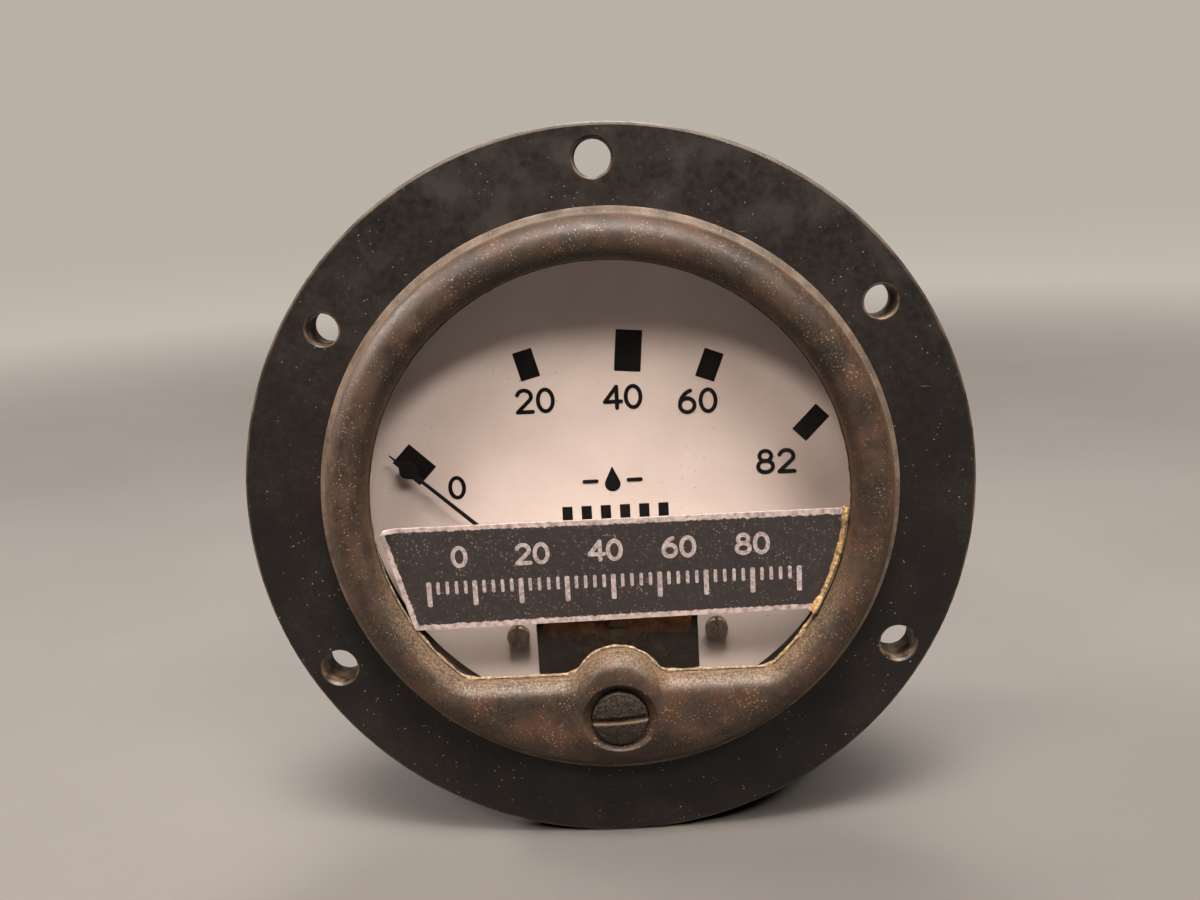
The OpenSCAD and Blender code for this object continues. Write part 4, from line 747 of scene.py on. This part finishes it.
# Painted glint: the bare border goes near white round the bent-up corner's tip.
tip = at(-28.1, -2.5, glass_top + 1.4)
from_glint = put(tree, "VectorMath", {0: place, 1: tip}, operation="DISTANCE", out="Value")
painted_glint = put(tree, "MapRange", {0: from_glint, 1: 0.0022, 2: 0.001})
bare_border_and_glint = put(tree, "Mix", {0: painted_glint, 6: bare_border_and_glint, 7: linear("#f4ebe6")}, data_type="RGBA", out=2)
wire(shader, {"Base Color": put(tree, "Mix", {0: bare, 6: field, 7: bare_border_and_glint}, data_type="RGBA", out=2),
              "Metallic": put(tree, "MapRange", {0: bare, 4: 0.6}),
              "Normal": grained(tree, place, 0.3, 0.015, detail=3)})
new_piece("placard", plate_mesh, "placard", "placard_plate", material=anodised)

# Bare aluminium worn through the anodising: a soft, scratched silver.
silver = plain("worn_bare_aluminium", 0.35, (0.3, "#837877"), (0.55, "#b5a9a6"), (0.75, "#cfc5c1"),
               Roughness=0.45, Metallic=0.5)
numbers, face, print_t = [], glass_top + plate_t, 0.03
for k, number in enumerate(("0", "20", "40", "60", "80")):
    numbers += lettered(number, -18.6 + 8.9 * k, -5.9, 2.3, 0.5, lean=-0.1)
new_piece("placard_figures", flat_shapes([], face, face + print_t, numbers), "placard", material=silver)
ticks = bar_row(at(-22.6, -8.95, face), 1.13, 41, (0.42, 1.66), (0.6, 3.2), 5, 0.2, print_t, silver)
new_piece("placard_ticks", ticks, "placard")


# Cement round the placard and dust along the window's edge. Old tan cement that squeezed out at the
# placard's right end and dried in grains, and the fine line of tan dust that the years have packed
# into the corner between glass and bezel.
def along_path_tree():
    """A round strand along a path, as thick as the path's own half_width, with a rough surface."""
    tree, given = growing("strand_along_path", "Strand", Geometry=("Path",), Int=("Sides",),
                          Material=("Material",), Float=("Flatness", "Lump Size", "Lump Height", "Seed"))
    half = put(tree, "GeometryNodeInputNamedAttribute", {"Name": "half_width"}, data_type="FLOAT")
    line = put(tree, "GeometryNodeMeshToCurve", {0: given["Path"]})
    line = put(tree, "GeometryNodeSetCurveRadius", {"Curve": line, "Radius": half})
    ring = put(tree, "GeometryNodeCurvePrimitiveCircle", {"Resolution": given["Sides"], "Radius": 1.0})
    flat = put(tree, "CombineXYZ", {0: 1.0, 1: given["Flatness"], 2: 1.0})
    ring = put(tree, "GeometryNodeTransform", {"Geometry": ring, "Scale": flat})
    tube = put(tree, "GeometryNodeCurveToMesh", {"Curve": line, "Profile Curve": ring, "Scale": half,
                                                 "Fill Caps": True})
    lumps = put(tree, "TexNoise", {"Scale": given["Lump Size"], "W": given["Seed"], "Detail": 3.0},
                noise_dimensions="4D")
    out = put(tree, "Math", {0: lumps, 1: 0.5}, operation="SUBTRACT")
    out = put(tree, "Math", {0: out, 1: given["Lump Height"]}, operation="MULTIPLY")
    normal = put(tree, "GeometryNodeInputNormal")
    push = put(tree, "VectorMath", {0: normal, 3: out}, operation="SCALE")
    moved = put(tree, "GeometryNodeSetPosition", {"Geometry": tube, "Offset": push})
    return finished(tree, moved, given["Material"])


strand_tree = along_path_tree()


def path_mesh(paths):
    """Loose lines through paths of (point, half width in mm); a path that ends on its start is closed."""
    mesh = bpy.data.meshes.new("path")
    points, lines, widths = [], [], []
    for path in paths:
        start = len(points)
        closed = (path[0][0] - path[-1][0]).length < 1e-7
        kept = path[:-1] if closed else path
        points += [p for p, w in kept]
        widths += [w / 1000 for p, w in kept]
        lines += [(start + i, start + i + 1) for i in range(len(kept) - 1)]
        if closed:
            lines.append((start + len(kept) - 1, start))
    mesh.from_pydata(points, lines, [])
    mesh.attributes.new("half_width", "FLOAT", "POINT").data.foreach_set("value", widths)
    return mesh


def strands(paths, material, sides=8, flatness=1.0, lump_mm=1.0, lump_height=0.0, seed=1.0):
    """Round strands along paths, rough by lumps of a size and a height in mm."""
    mesh = grown(strand_tree, path_mesh(paths), Flatness=flatness, Lump_Size=1000 / lump_mm,
                 Lump_Height=lump_height / 1000, Sides=sides, Seed=seed, Material=material)
    return tidy(mesh, 60)


# Dried rubber cement: tan and crumbly, with no gloss. Its grains are drawn coarser than real.
cement = plain("dried_tan_cement", 0.45, (0.3, "#55442c"), (0.5, "#856c45"), (0.7, "#b89e72"),
               grain=(0.25, 0.08), detail=5, rough=0.65, Roughness=0.75)

end_path, end_r = [], 28.35
for i in range(121):
    t = i / 120
    y = -1.9 - 12.9 * t
    half = 0.62 + 0.22 * noise.noise(Vector((0.3, 9.0 * t, 4.0))) + (0.5 * max(0, (t - 0.85) / 0.15))
    end_path.append((at(math.sqrt(end_r * end_r - y * y), y, glass_top + 0.3), max(0.2, half)))
low_path, low_r = [], 28.75
for i in range(41):
    t = i / 40
    half = 0.3 * (1 - 0.7 * t) + 0.14 * noise.noise(Vector((5.0, 14.0 * t, 2.0)))
    low_path.append((at(*swung(low_r, 0, -31.5 - 18.5 * t), glass_top + 0.05), max(0.07, half)))
new_piece("placard_cement", strands([end_path, low_path], cement, 18, 0.55, 0.34, 0.42, 3.0), "placard")

# Packed dust: pale tan, dry and without any gloss.
dust = plain("packed_tan_dust", 0.5, (0.3, "#43372a"), (0.52, "#75644c"), (0.72, "#a3927a"), Roughness=0.95)
edge_path = []
for x, y in window_edge + window_edge[:1]:
    share = 1 - 0.06 / math.hypot(x, y)
    lowness = min(max((5 - y) / 22, 0), 1)
    half = 0.07 + 0.16 * lowness + (0.06 + 0.2 * lowness) * noise.noise(Vector((x * 0.8, y * 0.8, 1.0)))
    edge_path.append((at(x * share, y * share, glass_top + 0.04), max(0.03, half)))
new_piece("edge_dust", strands([edge_path], dust, 8, 1.0, 0.35, 0.3, 7.0), "gasket")


# Zero screw. Turned steel screw, blackened, with a domed head and a saw-cut slot, in a brass bush pressed
# into the bezel. Its crank pin stands in the regulator's fork.
# Blackened steel: dark and dry with grime in its grain, with a painted highlight along the slot's lower lip.
blackened, tree, shader, place = new_finish("blackened_steel", Roughness=0.5, Metallic=0.6)
ground = mottled(tree, place, 0.3, (0.3, "#151311"), (0.5, "#2a2521"), (0.7, "#574c41"), detail=5, rough=0.7)
slot_angle, slot_half = 3, 0.45
# Painted highlight: a pale band along the slot's lower lip, where it catches the light.
level = put(tree, "Mapping", {0: place, 1: -at(0, zero_y, 0)})
level = put(tree, "VectorRotate", {0: level, "Axis": (0, 1, 0), "Angle": math.radians(slot_angle)})
across = put(tree, "SeparateXYZ", {0: level}, out=2)
outer = put(tree, "MapRange", {0: across, 1: -0.0007, 2: -0.00052})
inner = put(tree, "MapRange", {0: across, 1: -0.00036, 2: -0.00044, 4: 0.8})
painted_lip_highlight = put(tree, "Math", {0: outer, 1: inner}, operation="MULTIPLY")
ground = put(tree, "Mix", {0: painted_lip_highlight, 6: ground, 7: linear("#857561")}, data_type="RGBA", out=2)
wire(shader, {"Base Color": ground, "Roughness": patchy(tree, place, 0.6, 0.3, 0.7, 0.38, 0.7),
              "Normal": grained(tree, place, 0.16, 0.02, 0.8, 4, 0.7)})


def head_up(r):
    """Height of the head's domed top at radius r."""
    return head_top - crown_r + math.sqrt(crown_r * crown_r - r * r)


head_top, crown_r, head_r, bend_r = 10.6, 14, 3.45, 3.33
head = [(0, 0.8), (1.5, 0.8), (1.55, 0.85), (1.55, 1.3), (1.2, 1.3), (1.2, 1.9), (1.55, 1.9), (1.55, 9.1),
        (3.3, 9.1), (head_r, 9.22), (head_r, head_up(head_r) - 0.12), (3.40, head_up(head_r) - 0.03)]
head += [(bend_r * (1 - k / 12), head_up(bend_r * (1 - k / 12))) for k in range(12)] + [(0, head_top)]
corners = [swung(x, y * slot_half, slot_angle) for x, y in ((-6, -1), (6, -1), (6, 1), (-6, 1))]
slot_box = bpy.data.meshes.new("slot")
slot_box.from_pydata([at(x, zero_y + y, h) for h in (9.7, 12) for x, y in corners], [],
                     [(3, 2, 1, 0), (4, 5, 6, 7), (0, 1, 5, 4), (1, 2, 6, 5), (2, 3, 7, 6), (3, 0, 4, 7)])
crank = lathe([(0, -6.0), (0.35, -6.0), (0.45, -5.9), (0.45, 0.85), (0, 0.85)], (0, zero_y - 1), 32)


def joined(*meshes):
    """One mesh of several."""
    work = bmesh.new()
    for mesh in meshes:
        work.from_mesh(mesh)
    whole = bpy.data.meshes.new("whole")
    work.to_mesh(whole)
    work.free()
    return whole


screw_mesh = joined(cut_out(lathe(head, (0, zero_y), 128), slot_box), crank)
new_piece("zero_screw", tidy(screw_mesh), "blackened_brass", "zero_adjust_screw", material=blackened,
          body="zero_screw")


# Needle. Aluminium strip, stamped and painted matt black: a spade under a fine tip, a stem, a foot bent
# down to the hub, a tail and two cross arms that carry copper wire as balance weights.
# Matt black paint: dead black with a trace of tooth.
black_paint = plain("matt_black_paint", 1.5, (0.3, "#070606"), (0.7, "#12100f"), grain=(0.3, 0.01, 1.0, 3),
                    Roughness=0.6, Specular_IOR_Level=0.2)

# Bare copper wire: reddish and softly bright, darker where it has tarnished.
copper = plain("bare_copper_wire", 0.6, (0.3, "#7a4327"), (0.7, "#b5714a"), Roughness=0.35, Metallic=1.0)


def from_needle(x, y, up):
    """Row point of a point drawn with the needle straight up, from the pivot."""
    x, y = swung(x, y, 47.4)
    return at(x, pivot_y + y, up)


def capped(rows):
    """Mesh through closed rows of points, closed at both ends."""
    mesh = grid_mesh(rows, closed_rows=False)
    work = bmesh.new()
    work.from_mesh(mesh)
    work.verts.ensure_lookup_table()
    count = len(rows[0])
    work.faces.new(work.verts[:count])
    work.faces.new(work.verts[len(work.verts) - count:])
    work.to_mesh(mesh)
    work.free()
    return mesh


def strap(line, turn_by=0.0):
    """Strip along a line of (distance from the pivot, height, half width), with softened edges."""
    rows, half_t, ease = [], 0.15, 0.05
    for i, (y, z, half) in enumerate(line):
        before, after = line[max(i - 1, 0)], line[min(i + 1, len(line) - 1)]
        run, rise = after[0] - before[0], after[1] - before[1]
        long = math.hypot(run, rise)
        soft, side = min(ease, half * 0.5), half_t - ease
        row = []
        for x, t in ((soft - half, -half_t), (half - soft, -half_t), (half, -side), (half, side),
                     (half - soft, half_t), (soft - half, half_t), (-half, side), (-half, -side)):
            row.append(from_needle(*swung(x, y - t * rise / long, turn_by), z + t * run / long))
        rows.append(row)
    return capped(rows)


def stem_half(y):
    """Half width of the needle: stem, leaf-shaped spade and fine tip."""
    if y < 13.6:
        return 0.45 - 0.15 * max(0, y - 7.3) / 6.3
    base = 0.3 - 0.1 * min((y - 13.6) / 19, 1) - 0.15 * max(0, y - 34.9) / 2.3
    share = (y - 32.5) / 1.75 if y < 34.25 else (35.75 - y) / 1.5
    return base + (0.93 * math.sin(min(share, 1) * math.pi / 2) ** 1.5 if share > 0 else 0)


arm_up, arm_start, tail_end, cross_end = -7.55, 1.3, 9.3, 6.0
low_turns, high_turns = [math.radians(15 * k) for k in range(6)], [math.radians(15 * k) for k in range(1, 7)]
stem_line = [(arm_start, arm_up, 0.45)]
stem_line += [(5.6 + 0.3 * math.sin(a), arm_up + 0.3 * (1 - math.cos(a)), 0.45) for a in low_turns]
stem_line += [(7.75 - 0.35 * math.cos(a), 0.1 + 0.35 * math.sin(a), 0.45) for a in high_turns]
stem_line += [(8 + 0.2 * k, 0.45, stem_half(8 + 0.2 * k)) for k in range(147)]
hub = [(0.5, -8.3), (1.42, -8.3), (1.5, -8.22), (1.5, -7.48), (1.42, -7.4), (0.5, -7.4)]
needle_parts = [strap(stem_line), *(strap([(arm_start, arm_up, 0.15), (end, arm_up, 0.15)], turn_by)
                                    for end, turn_by in ((tail_end, 180), (cross_end, 90), (cross_end, 270))),
                lathe(hub, (0, pivot_y), 64)]
new_piece("needle", tidy(joined(*needle_parts), 40), "needle_black", "pointer", material=black_paint,
          body="moving_element")

wraps, per_turn = [], 14
for turn_by, arm, long, radius in ((180, tail_end, 3.6, 0.36), (90, cross_end, 1.6, 0.32),
                                   (270, cross_end, 1.6, 0.32)):
    steps = round(long / 0.2) * per_turn
    path = []
    for i in range(steps + 1):
        a = 2 * math.pi * i / per_turn
        along = arm - long - 0.1 + (long - 0.2) * i / steps
        x, y = swung(radius * math.cos(a), along, turn_by)
        path.append((from_needle(x, y, arm_up + radius * math.sin(a)), 0.09))
    wraps.append(path)
new_piece("balance_wire", strands(wraps, copper, 6), "copper", "balance_weights", body="moving_element")


# Movement. Bronze and brass bridges and brass pillars, gone brown with age, hold the jewels, and the
# coil of fine enamelled wire turns round a soft-iron core between the horseshoe magnet's pole pieces.
def worked(name, patch_mm, stops, smooth, dull, grain=None, **constants):
    """Finish of the movement's parts: fine tones in patches and a gloss from smooth to dull."""
    return plain(name, patch_mm, *stops, gloss=(smooth, dull), grain=grain, detail=5, rough=0.6, **constants)


# Turned and stamped brass, aged: a dull gold with brown patches.
aged_brass = worked("aged_brass", 2.5, ((0.3, "#665233"), (0.5, "#826d45"), (0.72, "#9e8a5f")), 0.3, 0.55,
                    (0.4, 0.01), Metallic=1.0)
dress(aged_brass, "zero_bush", "dial_spacers", "bridge_pillars", "front_jewel_screw", "spring_collets",
      "core_support", "movement_plate", "movement_screws", "rear_bridge", "rear_pillars", "rear_jewel_screw",
      "clamp_washers", "clamp_nuts", "wire_washers", "wire_nuts")
# Bronze strip gone brown: reddish brown, hardly shining.
dress(worked("browned_bronze", 2, ((0.3, "#4c2c18"), (0.5, "#7d4d2c"), (0.72, "#a8764a")), 0.35, 0.6,
             Metallic=1.0), "front_bridge", "front_lock_nut", "rear_lock_nut", "zero_regulator")
# Turned steel: grey and bright, with fine tool marks too small to see but as a soft gloss.
dress(worked("turned_steel", 1.2, ((0.3, "#77736c"), (0.7, "#a39e95")), 0.28, 0.5, Metallic=1.0),
      "pivot_staffs", "core_screws", "pole_screws", "rear_bridge_screws", "resistor_screw", "magnet_screws")
# Dial screws' steel, dulled by dust: brown-grey.
dress(worked("dulled_steel", 0.5, ((0.3, "#6a5f53"), (0.7, "#a09182")), 0.45, 0.65, Metallic=0.9),
      "dial_screws")
# Annealed soft iron: blue-black scale, dry.
dress(worked("annealed_soft_iron", 1.5, ((0.3, "#2b2a29"), (0.7, "#4a4744")), 0.5, 0.7, (0.5, 0.03),
             Metallic=0.8), "iron_core", "pole_pieces")
# Cast magnet steel: dark blue-grey with the rough skin of the casting.
dress(worked("cast_magnet_steel", 3, ((0.3, "#23262a"), (0.7, "#3c4046")), 0.45, 0.65, (0.6, 0.06),
             Metallic=0.7), "horseshoe_magnet")
# Drawn aluminium: pale and soft-bright.
dress(worked("drawn_aluminium", 0.8, ((0.3, "#a8a8a8"), (0.7, "#c9c9c7")), 0.28, 0.42, Metallic=1.0),
      "coil_former")
# Spring steel wire: dark grey-brown, oiled.
dress(worked("oiled_spring_steel", 1, ((0.3, "#4a443c"), (0.7, "#7b7266")), 0.32, 0.48, Metallic=1.0),
      "glass_snap_ring", "zero_screw_clip")
# Varnished cloth sleeve: dark red with the weave's dry nap, drawn coarser than real so that it shows.
sleeve = worked("varnished_cloth_sleeve", 0.4, ((0.3, "#571712"), (0.7, "#86281d")), 0.6, 0.8, (0.3, 0.04))
dress(sleeve, "needle_stops")
# Tinned brass: pale grey with a yellowish cast.
dress(worked("tinned_brass", 1, ((0.3, "#8a8578"), (0.7, "#bdb8a9")), 0.3, 0.5, Metallic=1.0),
      "terminal_lugs")
# Moulded brown phenolic of the bobbin: deep brown, satin.
dress(worked("moulded_brown_phenolic", 2, ((0.3, "#2f1a10"), (0.7, "#4d2e1c")), 0.38, 0.52),
      "resistor_bobbin")


# Hairsprings. Phosphor-bronze strip wound flat in five turns, the front one hung on the regulator's stud
# and the rear one on the rear bridge. They return the needle and carry the current to the coil.
def wound_strip_tree():
    """A strip on edge, wound in a flat spiral from its inner end out."""
    tree, given = growing("wound_strip", "Spring", Int=("Steps",), Vector=("Centre",), Material=("Material",),
                          Float=("Inner Radius", "Outer Radius", "Turns", "Thickness", "Height", "Corner"))
    line = put(tree, "GeometryNodeCurveSpiral",
               {"Resolution": given["Steps"], "Rotations": given["Turns"], "Reverse": True, "Height": 0.0,
                "Start Radius": given["Inner Radius"], "End Radius": given["Outer Radius"]})
    section = put(tree, "GeometryNodeCurvePrimitiveQuadrilateral",
                  {"Width": given["Thickness"], "Height": given["Height"]})
    section = put(tree, "GeometryNodeFilletCurve", {"Curve": section, "Count": 2, "Radius": given["Corner"]},
                  mode="POLY")
    strip = put(tree, "GeometryNodeCurveToMesh",
                {"Curve": line, "Profile Curve": section, "Fill Caps": True})
    flat = put(tree, "GeometryNodeTransform", {"Geometry": strip, "Translation": given["Centre"],
                                               "Rotation": (math.pi / 2, 0, 0)})
    return finished(tree, flat, given["Material"])


# Rolled phosphor bronze: bright, pinkish gold.
spring = worked("rolled_phosphor_bronze", 1, ((0.3, "#8a5a34"), (0.7, "#b9824f")), 0.25, 0.4, Metallic=1.0)
spring_tree = wound_strip_tree()
for name, low, body, node in (("front_spring", -6.45, "zero_regulator", "front_hairspring"),
                              ("rear_spring", -24.7, "gauge_body", "rear_hairspring")):
    mesh = grown(spring_tree, bpy.data.meshes.new("strip"), Inner_Radius=1.26e-3, Outer_Radius=4.56e-3,
                 Turns=5.0, Thickness=0.16e-3, Height=0.5e-3, Corner=0.045e-3, Steps=60,
                 Centre=at(0, pivot_y, low + 0.25), Material=spring)
    new_piece(name, tidy(mesh, 50), "bronze_strip", node, body=body)


# Coil and resistor windings. Enamelled copper wire laid in four layers on the aluminium former and parted
# at the staffs' pads, and resistance wire wound turn by turn on the bobbin. Both wires are drawn
# coarser than real, so that their turns show.
# Enamelled copper wire: dark orange-red with a varnished gloss.
enamelled = worked("enamelled_copper_wire", 1.4, ((0.3, "#6b2c14"), (0.55, "#96431f"), (0.75, "#b25c2c")),
                   0.22, 0.36, Metallic=0.9)
layers, per_layer, coil_width, parting = 4, 14, 3.4, 1.53
turn_paths, wire_t = [], coil_width / per_layer
for layer in range(layers):
    out = 0.125 + 0.25 * layer
    side_x, top_up, low_up, bend = 7.05 + out, -9.6 + out, -22.2 - out, 0.25 + out * 0.6
    line = [(parting, top_up)] + arc(side_x - bend, top_up - bend, bend, 90, 0, 5)
    line += [(side_x, top_up - bend)] + arc(side_x - bend, low_up + bend, bend, 0, -90, 5)
    line += [(side_x - bend, low_up), (parting, low_up)]
    for j in range(per_layer):
        y = -coil_width / 2 + wire_t * (j + 0.5)
        for side in (1, -1):
            turn_paths.append([(from_needle(side * x, y, up), wire_t / 2) for x, up in line])
new_piece("coil_turns", strands(turn_paths, enamelled, 6), "copper", "coil_winding", body="moving_element")

# Silk-covered resistance wire: dull green.
silk_wire = worked("silk_covered_wire", 0.5, ((0.3, "#3f5a35"), (0.7, "#5f7c4c")), 0.6, 0.8)
bobbin_y, low, high, core_r, winding_r = 12.0, -30.65, -23.65, 3.52, 5.2
turns, per_turn = 22, 36
pitch = (high - low) / turns
coil = []
for i in range((turns - 1) * per_turn + 1):
    x, y = swung(winding_r + 0.04, 0, 360 * i / per_turn)
    coil.append((at(x, bobbin_y + y, low + pitch * (0.5 + i / per_turn)), pitch / 2))
low, high = low + 0.02, high - 0.02
under = lathe([(core_r, low), (winding_r, low), (winding_r, high), (core_r, high)], (0, bobbin_y), 64)
winding = joined(strands([coil], silk_wire, 8), under)
new_piece("resistor_turns", winding, "resistance_wire", "resistor_winding", material=silk_wire)


# Leads. Wire in varnished cloth sleeves, from the solder lugs to the resistor and past a case post to
# the rear bridge, with its bends eased.
def eased(points):
    """Smooth curve through the points."""
    steps = 14
    ends = [points[0] * 2 - points[1]] + points + [points[-1] * 2 - points[-2]]
    line = []
    for k in range(1, len(ends) - 2):
        a, b, c, d = ends[k - 1:k + 3]
        for i in range(steps):
            t = i / steps
            line.append(((b * 2) + (c - a) * t + (a * 2 - b * 5 + c * 4 - d) * t * t
                         + (b * 3 - a - c * 3 + d) * t * t * t) / 2)
    return line + [points[-1]]


def lead_points(start, end, bends):
    """Bends of a lead as shares of the way from its start to its end, along each axis."""
    return [Vector([p + (q - p) * t for p, q, t in zip(start, end, bend)]) for bend in bends]


stud_x = 19.05
right = lead_points((stud_x, 8.2, -36.95), (6.6, bobbin_y, -30.95),
                    [(0, 0, 0), (0.05, 0.34, 0.1), (0.24, 0.6, 0.5), (0.56, 0.74, 0.83), (1, 1, 1)])
left = lead_points((-stud_x, 8.2, -36.95), (-15.6, pivot_y, -28.95),
                   [(0, 0, 0), (-0.12, 0.02, 0.25), (-0.29, 0.15, 0.5), (0, 0.48, 0.62), (0.26, 0.73, 0.75),
                    (1, 1, 1)])
left[3].x, left[4].x = -19.35, -18.15
sleeves = [[(at(*p), 0.46) for p in eased(line)] for line in (right, left)]
new_piece("lead_sleeves", strands(sleeves, sleeve, 14, 1.0, 0.5, 0.03, 2.0), "lead_sleeve", "lead_wires")


# Terminal studs. Brass quarter-inch studs with hexagon heads inside the case. The thread stands clear
# below the last nut, and inside the nuts it is drawn on its pitch line.
def threaded(x, top, low):
    """Screw thread of one stud between two heights, running out into its chamfered end."""
    pitch, depth_full, crest_r, count = 0.907, 0.5, 3.165, 48
    rows = []
    steps = int((top - low) / 0.1)
    for j in range(steps + 1):
        h = top + (low - top) * j / steps
        row = []
        for i in range(count):
            share = (h / pitch + i / count) % 1
            depth = max(0, 1 - abs(share - 0.5) * 2 / 0.8) * depth_full
            r = min(crest_r - depth, 2.6 + max(0, h - low) * 0.9, crest_r - max(0, 0.35 - (top - h)) * 0.8)
            a = 2 * math.pi * i / count
            row.append(at(x + r * math.cos(a), r * math.sin(a), h))
        rows.append(row)
    return capped(rows)


def hexagon(x, low, high, across):
    """Hexagon head with turned-off corners."""
    rows, sides = [], 96
    flat = across / 2
    for i in range(sides):
        a = 2 * math.pi * i / sides
        reach = flat / math.cos((a + math.pi / 6) % (math.pi / 3) - math.pi / 6)
        cut, face = 0.05 + max(0, reach - flat - 0.15) * 0.6, flat - 0.1
        section = ((0, low), (face, low), (reach, low + cut), (reach, high - cut), (face, high), (0, high))
        rows.append([at(x + r * math.cos(a), r * math.sin(a), h) for r, h in section])
    return tidy(grid_mesh(rows), 25)


stud_parts, pitch_r = [], 2.885
for x in (-stud_x, stud_x):
    stud_parts += [hexagon(x, -37.5, -34.5, 11.1), threaded(x, -50.7, -57.3),
                   lathe([(0, -50.75), (pitch_r, -50.75), (pitch_r, -37.45), (0, -37.45)], (x, 0), 64)]
new_piece("studs", tidy(joined(*stud_parts), 30), "brass", "terminal_studs", material=aged_brass)
